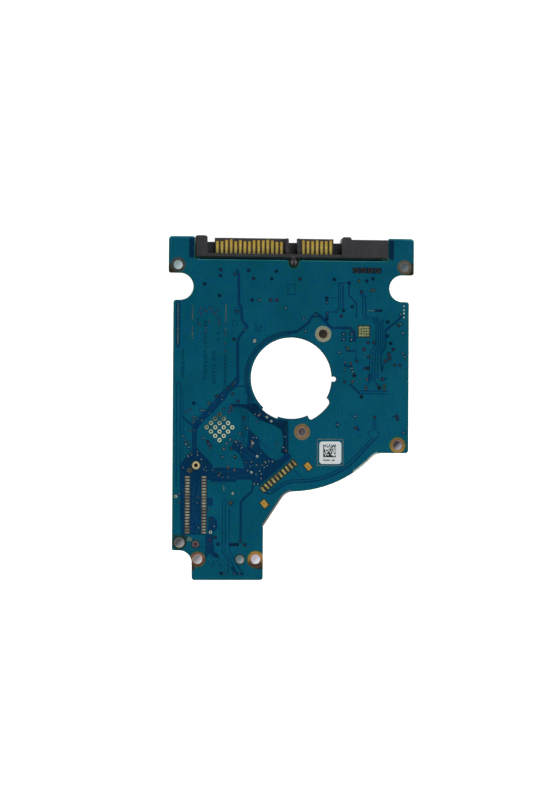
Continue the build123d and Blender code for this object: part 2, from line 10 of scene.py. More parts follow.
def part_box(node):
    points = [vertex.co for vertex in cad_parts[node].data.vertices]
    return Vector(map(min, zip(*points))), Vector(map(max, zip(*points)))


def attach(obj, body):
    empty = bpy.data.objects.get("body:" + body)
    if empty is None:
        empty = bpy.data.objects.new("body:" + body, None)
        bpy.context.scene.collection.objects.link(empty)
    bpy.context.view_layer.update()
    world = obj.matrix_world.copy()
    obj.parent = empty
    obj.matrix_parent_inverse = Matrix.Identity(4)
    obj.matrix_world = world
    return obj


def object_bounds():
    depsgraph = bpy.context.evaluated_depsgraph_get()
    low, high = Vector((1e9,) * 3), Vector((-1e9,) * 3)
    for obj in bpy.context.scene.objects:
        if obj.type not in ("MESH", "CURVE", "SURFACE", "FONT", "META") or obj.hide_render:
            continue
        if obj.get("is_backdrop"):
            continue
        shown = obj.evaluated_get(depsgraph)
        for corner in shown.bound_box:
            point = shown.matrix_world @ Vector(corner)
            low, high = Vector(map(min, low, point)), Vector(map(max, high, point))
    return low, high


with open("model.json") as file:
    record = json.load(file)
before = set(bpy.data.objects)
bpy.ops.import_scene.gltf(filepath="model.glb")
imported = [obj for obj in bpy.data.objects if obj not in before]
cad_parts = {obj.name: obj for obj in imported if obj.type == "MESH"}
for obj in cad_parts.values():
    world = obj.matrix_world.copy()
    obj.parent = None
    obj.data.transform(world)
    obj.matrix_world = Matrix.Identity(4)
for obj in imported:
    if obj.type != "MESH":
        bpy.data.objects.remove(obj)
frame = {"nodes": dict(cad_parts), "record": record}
cad_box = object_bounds()

MM = 0.001
OPENING = frame["record"]["physics"]["openings"][0]["box_m"]
SPINDLE_Y = (OPENING[0][1] + OPENING[1][1]) / 2 / MM
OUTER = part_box("solder_mask_outer")[1].z
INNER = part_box("solder_mask_inner")[0].z
rng = random.Random(28)

# Places on the board, here and below, in plan millimetres from the spindle's axis

CORNER_HOLES = [(-31.4, 31.0), (31.4, 31.0)]
MIDDLE_HOLES = [(8.77, 12.3), (3.06, -14.8), (29.63, -18.37)]
TAIL_HOLES = [(-25.6, -49.95), (-9.6, -49.95)]
LOCATOR_HOLES = [(-26.2, -24.15), (-26.2, -45.8)]
EDGE_HOLE = (-30.6, -45.4)
TAIL_PLAIN_HOLE = (-13.93, -50.0)
CONTROLLER = (20.11, 13.13)
DRIVER = (-19.77, -13.66)
DRIVER_VIA_PITCH = 1.66
SERVICE_ROW = (-3.37, -27.03)
SERVICE_PITCH = 1.25
BLADE_PITCH = 1.27
FIRST_POWER_BLADE, FIRST_SIGNAL_BLADE = -20.53, 3.36
TONGUES = [(-11.64, 9.3), (7.17, 4.2)]  # middle and half width, power then signal
SPLIT_PEG = (0.5, 32.6)
TEST_PAD_MIDDLE, TEST_PAD_COLUMN = -26.22, 2.28  # between the columns, and from there to each
MASK_EDGE_WIDTH, SPINDLE_RIM_WIDTH = 0.32, 0.2


# Materials: procedural, with texture coordinates in millimetres and 8-bit display colours

def tone(red, green, blue):
    """Linear colour of an 8-bit display colour."""
    parts = [c / 255 for c in (red, green, blue)]
    return [c / 12.92 if c < 0.04045 else ((c + 0.055) / 1.055) ** 2.4 for c in parts] + [1.0]


def scaled(colour, by):
    """A display colour made linear, then lighter or darker."""
    return [min(1, c * by) for c in tone(*colour)[:3]] + [1.0]


class Nodes:
    """A material and short ways to add nodes to it."""

    def __init__(self, name):
        self.material = bpy.data.materials.new(name)
        self.material.use_nodes = True
        self.tree = self.material.node_tree

    def add(self, kind, inputs=None, **settings):
        made = self.tree.nodes.new(kind)
        for name, value in settings.items():
            setattr(made, name, value)
        for key, value in (inputs or {}).items():
            self.put(made.inputs[key], value)
        return made

    def put(self, socket, value):
        if isinstance(value, bpy.types.NodeSocket):
            self.tree.links.new(value, socket)
        else:
            socket.default_value = value

    def math(self, operation, first, second=0.0):
        return self.add("ShaderNodeMath", {0: first, 1: second}, operation=operation).outputs[0]

    def ramp(self, value, low, high, start=0.0, end=1.0):
        inputs = {0: value, 1: low, 2: high, 3: start, 4: end}
        return self.add("ShaderNodeMapRange", inputs).outputs[0]

    def mix(self, share, first, second):
        """Blend two colours: a tuple is a display colour, a list or a socket is linear already."""
        first, second = (tone(*c) if isinstance(c, tuple) else c for c in (first, second))
        inputs = {0: share, 6: first, 7: second}
        return self.add("ShaderNodeMix", inputs, data_type="RGBA").outputs[2]


class Look(Nodes):
    """A Principled material whose colour is laid on coat by coat."""

    def __init__(self, name, base, metallic=0.0, specular=0.5):
        super().__init__(name)
        self.colour = base
        self.shader = self.tree.nodes["Principled BSDF"]
        self.shader.inputs["Metallic"].default_value = metallic
        self.shader.inputs["Specular IOR Level"].default_value = specular
        coords = self.add("ShaderNodeTexCoord").outputs["Object"]
        inputs = {0: coords, "Scale": 1 / MM}
        self.place = self.add("ShaderNodeVectorMath", inputs, operation="SCALE").outputs[0]
        self.x, frame_y, self.z = self.add("ShaderNodeSeparateXYZ", {0: self.place}).outputs
        self.y = self.minus(frame_y, SPINDLE_Y)

    def times(self, first, *others):
        for other in others:
            first = self.math("MULTIPLY", first, other)
        return first

    def plus(self, first, second):
        return self.math("ADD", first, second)

    def minus(self, first, second):
        return self.math("SUBTRACT", first, second)

    def off(self, value, middle):
        """Distance of a value from a middle."""
        return self.math("ABSOLUTE", self.minus(value, middle))

    def off_row(self, value, pitch, first):
        """Distance from the nearest middle of an even row, as a share of its pitch."""
        turns = self.math("DIVIDE", self.minus(value, first), pitch)
        return self.off(self.math("FRACT", self.plus(turns, 0.5)), 0.5)

    def between(self, value, start, full, fade, end):
        """1 from full to fade, falling to 0 at start and at end."""
        return self.times(self.ramp(value, start, full), self.ramp(value, fade, end, 1.0, 0.0))

    def waves(self, value, pitch, kind="SINE"):
        return self.math(kind, self.times(value, 2 * math.pi / pitch))

    def noise(self, scale, detail=3.0, stretch=(1, 1, 1)):
        """Noise from 0 to 1, with scale in features per millimetre."""
        inputs = {0: self.place, 1: stretch}
        place = self.add("ShaderNodeVectorMath", inputs, operation="MULTIPLY").outputs[0]
        inputs = {"Vector": place, "Scale": scale, "Detail": detail}
        return self.add("ShaderNodeTexNoise", inputs).outputs[0]

    def cloud(self, scale, detail, low, high, stretch=(1, 1, 1)):
        """Noise stretched to run from 0 at low to 1 at high."""
        return self.ramp(self.noise(scale, detail, stretch), low, high)

    def varied(self, least, most, scale, detail=3.0):
        """A value that wanders between two others."""
        return self.ramp(self.noise(scale, detail), 0.3, 0.7, least, most)

    def reach(self, x, y):
        """Plan distance from a point."""
        plan = self.add("ShaderNodeCombineXYZ", {0: self.x, 1: self.y}).outputs[0]
        inputs = {0: plan, 1: (x, y, 0)}
        return self.add("ShaderNodeVectorMath", inputs, operation="DISTANCE").outputs["Value"]

    def near(self, x, y, radius, soft=0.3):
        """1 within a radius of a plan point, fading to 0."""
        return self.ramp(self.reach(x, y), radius, radius + soft, 1.0, 0.0)

    def bands(self, x, y, inner, outer, stops):
        """Rings of colour across a plated ring; stops are (share of the width, colour)."""
        uneven = self.plus(self.reach(x, y), self.varied(-0.12, 0.12, 1.4))
        ramp = self.add("ShaderNodeValToRGB", {0: self.ramp(uneven, inner, outer)})
        elements = ramp.color_ramp.elements
        for share, colour in stops[1:-1]:
            elements.new(share).color = tone(*colour)
        for end in (0, -1):
            elements[end].position, elements[end].color = stops[end][0], tone(*stops[end][1])
        return ramp.outputs[0]

    def specks(self, scale, size):
        """Small spots at random places, with a quarter of them kept."""
        cells = self.add("ShaderNodeTexVoronoi", {"Vector": self.place, "Scale": scale})
        spots = self.ramp(cells.outputs["Distance"], size, size * 1.6, 1.0, 0.0)
        kept = self.add("ShaderNodeSeparateColor", {0: cells.outputs["Color"]}).outputs[0]
        return self.times(spots, self.math("LESS_THAN", kept, 0.25))

    def weave(self, pitch):
        """Glass cloth under the surface: crossing waves from -1 to 1."""
        frame_y = self.plus(self.y, SPINDLE_Y)
        return self.times(self.waves(self.x, pitch), self.waves(frame_y, pitch))

    def coat(self, share, colour, strength=1.0):
        """Another colour over what is there, as far as share and strength let it."""
        if strength != 1:
            share = self.times(share, strength)
        self.colour = self.mix(share, self.colour, colour)

    def scratched(self, colour, strength):
        """A coat of fine lengthwise scratches; gives back a grained relief with them in it."""
        scratches = self.cloud(6.0, 3, 0.5, 0.72, (1, 0.1, 1))
        self.coat(scratches, colour, strength)
        return self.plus(self.noise(7.0), scratches)

    def finish(self, roughness, relief, depth, strength):
        """Connect colour, roughness and a bump whose depth is in millimetres."""
        self.put(self.shader.inputs["Base Color"], self.colour)
        self.put(self.shader.inputs["Roughness"], roughness)
        inputs = {"Height": relief, "Strength": strength, "Distance": depth * MM}
        self.put(self.shader.inputs["Normal"], self.add("ShaderNodeBump", inputs).outputs[0])
        return self.material


def mask_look(name, dark, light):
    """Glossy solder mask with mottled depth, faint glass cloth, dust and fine scuffs."""
    look = Look(name, dark, specular=0.35)
    look.coat(look.cloud(0.11, 3, 0.36, 0.64), light)
    red, green = tone(*dark)[:2]
    bluer = [red, green * 0.93, min(1, tone(*light)[2] * 1.12), 1.0]
    look.coat(look.cloud(0.5, 3, 0.4, 0.7), bluer, 0.55)
    cloth = look.weave(0.52)
    look.coat(look.ramp(cloth, 0.1, 1.0, 0.0, 0.16), scaled(dark, 0.86))
    look.coat(look.specks(0.4, 0.025), (120, 140, 145), 0.25)
    scuffs = look.times(look.cloud(1.3, 4, 0.55, 0.75, (1, 0.12, 1)), 0.06)
    relief = look.plus(look.times(cloth, 0.35), look.noise(0.9, 2))
    return look.finish(look.plus(look.varied(0.22, 0.29, 1.6, 2), scuffs), relief, 0.004, 0.3)


def metal_look(name, base, worn, metallic, least_rough, most_rough, scale=1.2):
    """Plated metal with patchy tarnish, fine scratches and a grained surface."""
    look = Look(name, base, metallic)
    look.coat(look.cloud(scale, 4, 0.42, 0.62), worn)
    relief = look.scratched(scaled(base, 1.25), 0.25)
    return look.finish(look.varied(least_rough, most_rough, 3.5), relief, 0.003, 0.4)


def ring_look(name, rings):
    """Tarnished rings, each (x, y, hole, ring, stops, low-side colour, share), with painted light
    and shade on their lower side: darker on some rings, lighter on others.
    """
    look = Look(name, rings[0][4][0][1], 0.55)
    blotch = look.cloud(1.1, 4, 0.4, 0.62)
    wavy = look.plus(look.y, look.times(blotch, 0.7))
    for x, y, hole, ring, stops, low_side_light_and_shade, share in rings:
        # painted light and shade: the lower side of each ring takes its low-side colour, as light
        # falls on it
        low = look.ramp(wavy, y - 0.8, y + 0.7, share, 0.0)
        look.coat(look.near(x, y, 3.0), look.mix(low, look.bands(x, y, hole, ring, stops), low_side_light_and_shade))
    look.coat(look.cloud(4.5, 3, 0.45, 0.7), (120, 105, 80), 0.22)
    return look.finish(look.varied(0.34, 0.62, 2.2), look.noise(5.0, 4), 0.006, 0.5)


def thermal_ring_look():
    """Tinned via rings, dulled to green towards the land's upper left and dark at one ring."""
    look = Look("tinned_pad", (206, 220, 200), 0.25)
    look.coat(look.cloud(2.0, 3, 0.4, 0.7), (158, 180, 154))
    x, y = DRIVER
    slope = look.minus(look.times(look.minus(look.x, x), 0.8), look.minus(look.y, y))
    dull = look.ramp(look.plus(slope, look.varied(-1.2, 1.2, 0.6)), -4.0, 0.5, 0.85, 0.0)
    look.coat(dull, (104, 130, 98))
    look.coat(look.near(x, y + 3.52, 1.0, 1.8), (14, 66, 76), 0.92)
    return look.finish(look.varied(0.35, 0.55, 3.5), look.noise(7.0), 0.003, 0.4)


def lattice_look():
    """Thermal land under the mask's window: pale solder islands between darker flux channels."""
    look = Look("thermal_land", (34, 68, 62), 0.4)
    pitch = 0.72
    across, along = (
        look.waves(look.minus(value, middle - pitch / 2), pitch, "COSINE")
        for value, middle in zip((look.x, look.y), CONTROLLER)
    )
    islands = look.plus(look.plus(across, along), look.varied(-1.1, 1.1, 2.6, 4))
    look.coat(look.ramp(islands, -1.1, 1.2), (178, 190, 128))
    look.coat(look.cloud(1.9, 3, 0.5, 0.64), (92, 66, 44), 0.7)
    return look.finish(look.varied(0.35, 0.6, 4.0, 2), look.noise(5.0), 0.01, 0.6)


def header_look():
    """Glass-filled plastic, with painted shade where its pegs and core are seen down the board's
    holes.
    """
    look = Look("header_plastic", (92, 112, 96), specular=0.4)
    look.coat(look.cloud(0.35, 3, 0.35, 0.65, (1, 0.4, 1)), (122, 136, 116))
    # painted shade: dark spots where the pegs and core lie at the bottom of the board's holes
    for x, y, reach, shade in [
        (-27.87, -25.56, 0.85, (34, 44, 30)), (-27.87, -44.4, 0.85, (54, 92, 90)),
        (*LOCATOR_HOLES[0], 0.75, (46, 32, 22)), (*LOCATOR_HOLES[1], 0.6, (64, 40, 56)),
    ]:
        look.coat(look.near(x, y, reach, 0.1), shade)
    look.coat(look.cloud(6.0, 3, 0.5, 0.7), (170, 172, 150), 0.25)
    return look.finish(look.varied(0.45, 0.6, 1.4), look.noise(9.0, 2), 0.004, 0.5)


def blade_look():
    """Gold blades, paler where they leave the housing, worn along lengthwise rub marks."""
    look = Look("blade_gold", (250, 232, 128), 0.45, 0.6)
    look.coat(look.ramp(look.y, 34.4, 38.0), (216, 180, 70))
    signal = look.math("GREATER_THAN", look.x, 1.5)
    step = look.times(signal, FIRST_SIGNAL_BLADE - FIRST_POWER_BLADE)
    off_blade = look.off_row(look.x, BLADE_PITCH, look.plus(step, FIRST_POWER_BLADE))
    look.coat(look.ramp(off_blade, 0.19, 0.31), (112, 80, 28))
    look.coat(look.cloud(1.3, 4, 0.42, 0.66), (176, 138, 50), 0.4)
    look.coat(look.cloud(5.0, 3, 0.55, 0.72, (1, 0.1, 1)), (238, 226, 178), 0.35)
    return look.finish(look.varied(0.28, 0.44, 4.0, 2), look.noise(9.0), 0.003, 0.4)


def connector_shades(look):
    """Painted light on the split peg, painted shade on the shelf, painted shade with the board's
    green reflected in it on the step under the board's edge, and a painted reflection of the gold
    blades on the plastic between them.
    """
    # painted light: the split peg made paler over the shade that falls on it
    look.coat(look.near(*SPLIT_PEG, 1.0, 0.1), (84, 81, 86))
    # painted shade on the low shelf
    shelf = look.ramp(look.y, 34.3, 35.0, 1.0, 0.0)
    low = look.ramp(look.z, 2.9, 3.6, 1.0, 0.0)
    look.coat(look.times(shelf, low), (24, 32, 30), 0.7)
    # painted shade behind the housing under the board's edge, tinted by the board's green reflected
    # in it
    ledge_shade = look.times(
        look.ramp(look.off(look.x, SPLIT_PEG[0]), 1.1, 1.4),
        look.between(look.y, 32.3, 32.4, 33.45, 33.6),
        look.between(look.z, 2.9, 3.1, 3.34, 3.4),
    )
    look.coat(ledge_shade, (20, 66, 66), 0.9)
    # painted reflection of the gold blades on the plastic between them
    for middle, half in TONGUES:
        gold_reflection = look.times(
            look.ramp(look.off(look.x, middle), half, half + 0.2, 1.0, 0.0),
            look.ramp(look.z, 2.5, 2.58), look.between(look.y, 34.2, 34.6, 37.7, 38.1),
        )
        look.coat(gold_reflection, (62, 44, 12), 0.8)


def plastic_look(name, base, pale, scuffed, scuffs, rough, grain, depth, specular, shades=None):
    """Moulded plastic: fine spark-eroded grain, slight flow shades, pale scuffs and dust."""
    look = Look(name, base, specular=specular)
    look.coat(look.cloud(0.35, 3, 0.35, 0.65, (1, 0.4, 1)), pale, 0.6)
    if shades:
        shades(look)
    look.coat(look.cloud(2.2, 5, 0.62, 0.76, (0.5, 1, 1)), scuffed, scuffs)
    look.coat(look.specks(1.4, 0.07), (140, 135, 130), 0.3)
    return look.finish(look.varied(*rough, 1.4), look.noise(grain, 2), depth, 0.5)


def test_pad_look():
    """Pale gold pads in two columns, worn, with solder-stained ends."""
    look = Look("test_pad_gold", (170, 170, 148), 0.4)
    look.coat(look.cloud(0.5, 4, 0.42, 0.62), (118, 104, 90))
    relief = look.scratched((214, 214, 196), 0.25)
    off_column = look.off(look.off(look.x, TEST_PAD_MIDDLE), TEST_PAD_COLUMN)
    look.coat(look.ramp(off_column, 0.32, 0.52), (44, 64, 68), 0.75)
    return look.finish(look.varied(0.36, 0.55, 3.5), relief, 0.003, 0.4)


def service_pad_look():
    """Gold pads along a slanting row, darker brown along both sides of each pad."""
    look = Look("service_pad_gold", (176, 170, 112), 0.5)
    look.coat(look.cloud(0.8, 4, 0.42, 0.62), (126, 106, 62))
    slant = math.radians(40.7)
    across = look.times(look.minus(look.x, SERVICE_ROW[0]), math.cos(slant))
    along = look.plus(across, look.times(look.minus(look.y, SERVICE_ROW[1]), math.sin(slant)))
    off_pad = look.off_row(along, SERVICE_PITCH, SERVICE_PITCH / 2)
    flux = look.ramp(look.plus(off_pad, look.varied(-0.04, 0.04, 1.6)), 0.17, 0.27)
    look.coat(flux, (58, 50, 28))
    relief = look.scratched((240, 228, 164), 0.2)
    return look.finish(look.varied(0.34, 0.52, 3.5), relief, 0.003, 0.4)


def laminate_look():
    """Routed glass-epoxy edge: layered cloth with frayed pale bundles and a scorched tint."""
    look = Look("glass_epoxy", (104, 104, 66), specular=0.3)
    layers = look.waves(look.z, 0.118)
    look.coat(look.ramp(layers, -0.6, 0.8), (172, 168, 122))
    look.coat(look.cloud(3.0, 2, 0.45, 0.65, (1, 1, 6)), (196, 192, 160), 0.5)
    look.coat(look.cloud(0.2, 3, 0.4, 0.62), (98, 86, 56), 0.5)
    return look.finish(0.75, look.plus(layers, look.noise(9.0)), 0.02, 0.7)


def paper_look():
    look = Look("label_film", (206, 212, 213), specular=0.3)
    look.coat(look.cloud(0.9, 4, 0.4, 0.7), (186, 194, 196), 0.5)
    return look.finish(0.5, look.noise(14.0), 0.003, 0.4)


def winding_look():
    """Enamelled wire: fine turns one above the other."""
    look = Look("enamelled_wire", (70, 30, 16), 0.6)
    turns = look.waves(look.z, 0.16)
    look.coat(look.ramp(turns, -0.8, 0.9), (188, 106, 56))
    return look.finish(0.35, turns, 0.04, 0.8)


def ceramic_look(name, base, other, least_rough=0.35, most_rough=0.5):
    look = Look(name, base, specular=0.4)
    look.coat(look.cloud(5.0, 4, 0.4, 0.65), other)
    return look.finish(look.varied(least_rough, most_rough, 3.0, 2), look.noise(12.0), 0.004, 0.5)


def ink_look(name, base, other, rough=0.3, specular=0.16):
    """Thin print or copper seen through the mask, uneven at its edges."""
    look = Look(name, base, specular=specular)
    look.coat(look.cloud(2.4, 4, 0.38, 0.66), other)
    return look.finish(look.varied(rough - 0.08, rough + 0.08, 3.0, 2), look.noise(6.0), 0.003, 0.4)


looks = {
    "mask": mask_look("solder_mask_teal", (0, 75, 91), (3, 82, 102)),
    "gap": mask_look("mask_over_laminate", (0, 45, 73), (2, 54, 85)),
    "deep": mask_look("mask_over_deep_clearance", (0, 35, 57), (2, 43, 68)),
    "arc": mask_look("mask_over_ground_ring", (2, 56, 76), (4, 62, 84)),
    "trace": mask_look("mask_over_trace", (1, 60, 84), (4, 70, 96)),
    "margin": mask_look("mask_at_edge", (8, 78, 76), (16, 88, 82)),
    "lit_edge": mask_look("mask_over_lit_edge", (24, 104, 110), (60, 136, 138)),
    "olive": mask_look("mask_thin_olive", (16, 48, 54), (30, 58, 52)),
    "laminate": laminate_look(),
    "frayed": ceramic_look("frayed_laminate", (168, 178, 162), (122, 138, 124), 0.6, 0.8),
    "bare": ceramic_look("bare_laminate", (122, 118, 108), (92, 84, 76), 0.6, 0.8),
    "corner_rings": ring_look("corner_ring_tin", [
        (*CORNER_HOLES[0], 1.22, 1.95, [
            (0.0, (118, 118, 114)), (0.3, (74, 76, 74)), (0.7, (52, 60, 60)), (1.0, (40, 58, 62)),
        ], (52, 48, 34), 0.5),
        (*CORNER_HOLES[1], 1.22, 1.95, [
            (0.0, (132, 124, 104)), (0.3, (82, 84, 84)), (0.6, (88, 78, 54)), (0.85, (84, 94, 96)),
            (1.0, (34, 58, 68)),
        ], (98, 78, 48), 0.4),
    ]),
    "middle_rings": ring_look("middle_ring_gold", [
        (*MIDDLE_HOLES[0], 1.2, 2.25, [
            (0.0, (96, 90, 70)), (0.12, (180, 166, 142)), (0.34, (148, 142, 120)),
            (0.6, (140, 148, 128)), (0.82, (156, 180, 158)), (1.0, (66, 116, 108)),
        ], (182, 168, 138), 0.25),
        (*MIDDLE_HOLES[1], 1.1, 2.2, [
            (0.0, (150, 132, 112)), (0.16, (168, 146, 118)), (0.34, (98, 72, 52)),
            (0.55, (150, 114, 66)), (0.75, (116, 92, 60)), (0.88, (158, 134, 94)),
            (1.0, (78, 88, 74)),
        ], (142, 128, 104), 0.35),
        (*MIDDLE_HOLES[2], 1.25, 2.15, [
            (0.0, (170, 144, 126)), (0.18, (134, 100, 80)), (0.4, (118, 78, 44)),
            (0.65, (150, 116, 54)), (0.88, (120, 112, 50)), (1.0, (58, 84, 66)),
        ], (190, 158, 72), 0.5),
    ]),
    "tail_rings": ring_look("tail_ring_copper", [
        (*TAIL_HOLES[0], 1.28, 2.05, [
            (0.0, (208, 180, 164)), (0.2, (156, 112, 92)), (0.45, (118, 74, 50)),
            (0.75, (134, 92, 54)), (1.0, (70, 58, 48)),
        ], (74, 44, 32), 0.75),
        (*TAIL_HOLES[1], 1.28, 2.3, [
            (0.0, (214, 186, 172)), (0.18, (186, 130, 100)), (0.4, (172, 122, 44)),
            (0.75, (178, 146, 56)), (1.0, (82, 84, 56)),
        ], (58, 32, 26), 0.95),
    ]),
    "locator_rings": ring_look("locator_ring_gold", [
        (*LOCATOR_HOLES[0], 0.53, 1.1, [
            (0.0, (150, 136, 100)), (0.3, (226, 214, 170)), (0.75, (206, 192, 148)),
            (1.0, (120, 116, 90)),
        ], (214, 200, 156), 0.3),
        (*LOCATOR_HOLES[1], 0.35, 0.95, [
            (0.0, (72, 50, 62)), (0.4, (112, 92, 96)), (0.8, (98, 88, 94)), (1.0, (50, 64, 76)),
        ], (90, 76, 80), 0.3),
    ]),
    "gold": metal_look("gold_plate", (206, 178, 108), (166, 132, 72), 0.6, 0.34, 0.52),
    "test_gold": test_pad_look(),
    "spare_gold": service_pad_look(),
    "amber_gold": metal_look("corner_pad_gold", (202, 164, 82), (180, 130, 46), 0.5, 0.34, 0.5, 1.4),
    "blade_gold": blade_look(),
    "tin": metal_look("solder_tin", (196, 198, 196), (150, 152, 152), 0.8, 0.28, 0.5),
    "tinned_pad": thermal_ring_look(),
    "thermal_land": lattice_look(),
    "copper": metal_look("bare_copper", (12, 30, 46), (30, 28, 40), 0.1, 0.3, 0.42),
    "aged_pin": metal_look("aged_pin", (52, 34, 44), (24, 30, 44), 0.2, 0.3, 0.42),
    "nickel": metal_look("nickel_lid", (196, 192, 184), (176, 172, 164), 0.9, 0.22, 0.34),
    "paper": paper_look(),
    "connector": plastic_look(
        "connector_plastic", (39, 38, 41), (51, 49, 53), (88, 86, 90), 0.3,
        (0.45, 0.62), 9.0, 0.004, 0.4, connector_shades,
    ),
    "package": plastic_look(
        "package_plastic", (34, 34, 37), (48, 48, 51), scaled((48, 48, 51), 2.2), 0.35,
        (0.5, 0.68), 12.0, 0.006, 0.35,
    ),
    "header": header_look(),
    "sensor": ceramic_look("sensor_ceramic", (216, 212, 200), (190, 186, 172)),
    "capacitor": ceramic_look("capacitor_ceramic", (150, 118, 86), (126, 96, 68)),
    "resistor": ceramic_look("resistor_glaze", (26, 26, 32), (44, 44, 50), 0.2, 0.35),
    "ferrite": ceramic_look("ferrite", (58, 58, 62), (40, 40, 44), 0.5, 0.7),
    "winding": winding_look(),
    "ink": ink_look("label_ink", (22, 22, 26), (44, 44, 50)),
    "mark": ink_look("legend_pale", (112, 114, 100), (62, 88, 88)),
    "bar": ink_look("legend_faint", (8, 62, 78), (16, 68, 84)),
    "etched": ink_look("legend_etched", (0, 46, 66), (2, 56, 76)),
    "soot": ink_look("scorched_mask", (34, 34, 30), (52, 46, 34), 0.4),
    "pill": ink_look("window_shade", (6, 30, 48), (16, 32, 46)),
    "pit": ink_look("via_pit", (24, 34, 28), (40, 46, 32), 0.4),
    "groove": ink_look("window_edge", (14, 36, 46), (30, 34, 30), 0.35),
}

VIA_LOOKS = {
    # name: rim radius, cap radius, cap colours
    "dark": (0.54, 0.26, (4, 26, 40), (2, 36, 52)),
    "rust": (0.52, 0.32, (52, 36, 48), (18, 34, 50)),
    "brown": (0.5, 0.28, (62, 60, 56), (28, 48, 56)),
    "plum": (0.6, 0.38, (64, 50, 76), (32, 46, 76)),
    "grey": (0.42, 0.2, (96, 118, 126), (44, 80, 96)),
    "pale": (0.46, 0.2, (124, 146, 148), (72, 104, 112)),
    "olive": (0.52, 0.32, (80, 86, 58), (38, 58, 52)),
    "tarry": (0.6, 0.42, (24, 36, 30), (8, 26, 34)),
    "orange": (0.46, 0.28, (118, 84, 62), (68, 62, 60)),
    "bright": (0.52, 0.34, (176, 188, 174), (132, 152, 142)),
}
for via_name, (_, _, base, other) in VIA_LOOKS.items():
    looks["via_" + via_name] = ink_look("via_" + via_name, base, other, 0.3, 0.2)


# CAD nodes and their looks

NODE_LOOKS = {
    "mask": ["solder_mask_outer", "solder_mask_inner"],
    "laminate": ["board_laminate"],
    "corner_rings": ["corner_hole_plating"],
    "middle_rings": ["middle_hole_plating"],
    "tail_rings": ["tail_hole_plating"],
    "locator_rings": ["locator_hole_plating"],
    "copper": ["jumper_hole_plating"],
    "test_gold": ["head_test_pads"],
    "spare_gold": ["service_pads"],
    "amber_gold": ["service_hold_down_pads"],
    "thermal_land": ["controller_ground_pad"],
    "aged_pin": ["jumper_pins"],
    "gold": [
        "head_connector_contacts", "motor_contact_tails", "motor_contact_spring_1",
        "motor_contact_spring_2", "motor_contact_spring_3", "motor_contact_spring_4",
    ],
    "blade_gold": ["power_contacts", "signal_contacts"],
    "tinned_pad": ["driver_thermal_pads"],
    "tin": [
        "connector_hold_downs", "controller_leads", "cache_memory_leads", "motor_driver_leads",
        "boot_flash_leads", "shock_sensor_terminals", "power_inductor_terminals",
        "transient_diode_leads", "power_transistor_leads", "large_capacitor_terminals",
        "small_capacitor_terminals", "chip_resistor_terminals", "head_connector_tabs",
    ],
    "paper": ["id_label"],
    "connector": ["connector_housing"],
    "package": [
        "controller_chip", "cache_memory_chip", "motor_driver_chip", "boot_flash_chip",
        "transient_diodes", "power_transistors",
    ],
    "sensor": ["crystal_base", "shock_sensors"],
    "nickel": ["crystal_lid"],
    "ferrite": ["power_inductor_shields", "power_inductor_cores"],
    "winding": ["power_inductor_windings"],
    "capacitor": ["large_capacitors", "small_capacitors"],
    "resistor": ["chip_resistors"],
    "header": ["head_connector_housing", "motor_contact_block"],
}
for look_name, nodes in NODE_LOOKS.items():
    for node in nodes:
        mesh = frame["nodes"][node].data
        mesh.materials.clear()
        mesh.materials.append(looks[look_name])


# Thin shapes on the board's faces

def flat_outlines(node, level):
    """Closed outlines of a node's flat face at a level, with the material on their left."""
    mesh = frame["nodes"][node].data
    edges = set()
    for polygon in mesh.polygons:
        corners = [mesh.vertices[i].co for i in polygon.vertices]
        if polygon.normal.z > 0.99 and all(abs(c.z - level) < 2e-6 for c in corners):
            keys = [(round(c.x / MM, 3), round(c.y / MM - SPINDLE_Y, 3)) for c in corners]
            for start, end in zip(keys, keys[1:] + keys[:1]):
                if (end, start) in edges:
                    edges.remove((end, start))
                else:
                    edges.add((start, end))
    after = dict(edges)
    outlines = []
    while after:
        start, point = after.popitem()
        outline = [start]
        while point != start:
            outline.append(point)
            point = after.pop(point)
        outlines.append(outline)
    return outlines


def extent(outline):
    xs, ys = zip(*outline)
    return max(max(xs) - min(xs), max(ys) - min(ys))


def inside(point, outline):
    x, y = point
    hits = 0
    for (x0, y0), (x1, y1) in zip(outline, outline[1:] + outline[:1]):
        if (y0 > y) != (y1 > y) and x < x0 + (y - y0) * (x1 - x0) / (y1 - y0):
            hits += 1
    return hits % 2 == 1


def doubled_area(outline):
    """Twice the area inside an outline, positive when it runs anticlockwise."""
    return sum(x0 * y1 - x1 * y0 for (x0, y0), (x1, y1) in zip(outline, outline[1:] + outline[:1]))


def arc(x, y, radius, angles):
    return [(x + radius * math.cos(a), y + radius * math.sin(a)) for a in angles]


def mitres(points, closed=False):
    """At each point of a line, the step to its left that keeps a unit width; none at a cusp."""
    steps = []
    count = len(points)
    for i, point in enumerate(points):
        before = points[i - 1] if i or closed else None
        after = points[(i + 1) % count] if i < count - 1 or closed else None
        normals = []
        for a, b in ((before, point), (point, after)):
            if a and b:
                way = (Vector(b) - Vector(a)).normalized()
                normals.append(Vector((-way.y, way.x)))
        total = sum(normals, Vector((0, 0))).normalized()
        share = total.dot(normals[0])
        steps.append(total / share if share > 0.62 else Vector((0, 0)))
    return steps


def smooth(points, cuts=5):
    """A rounder line through the same points."""
    ends = [points[0], *points, points[-1]]
    line = []
    for a, b, c, d in zip(ends, ends[1:], ends[2:], ends[3:]):
        for i in range(cuts):
            t = i / cuts
            line.append(tuple(
                0.5 * (2 * q + (r - p) * t + (2 * p - 5 * q + 4 * r - s) * t * t
                       + (3 * q - p - 3 * r + s) * t ** 3)
                for p, q, r, s in zip(a, b, c, d)
            ))
    return [*line, points[-1]]


SHAPE_STEP, SHAPE_STEPS = 0.0005, 11
CAP_SIDES, DISC_SIDES = 6, 14
CROWN = 0.62  # share of a strip or dome that its flat top takes


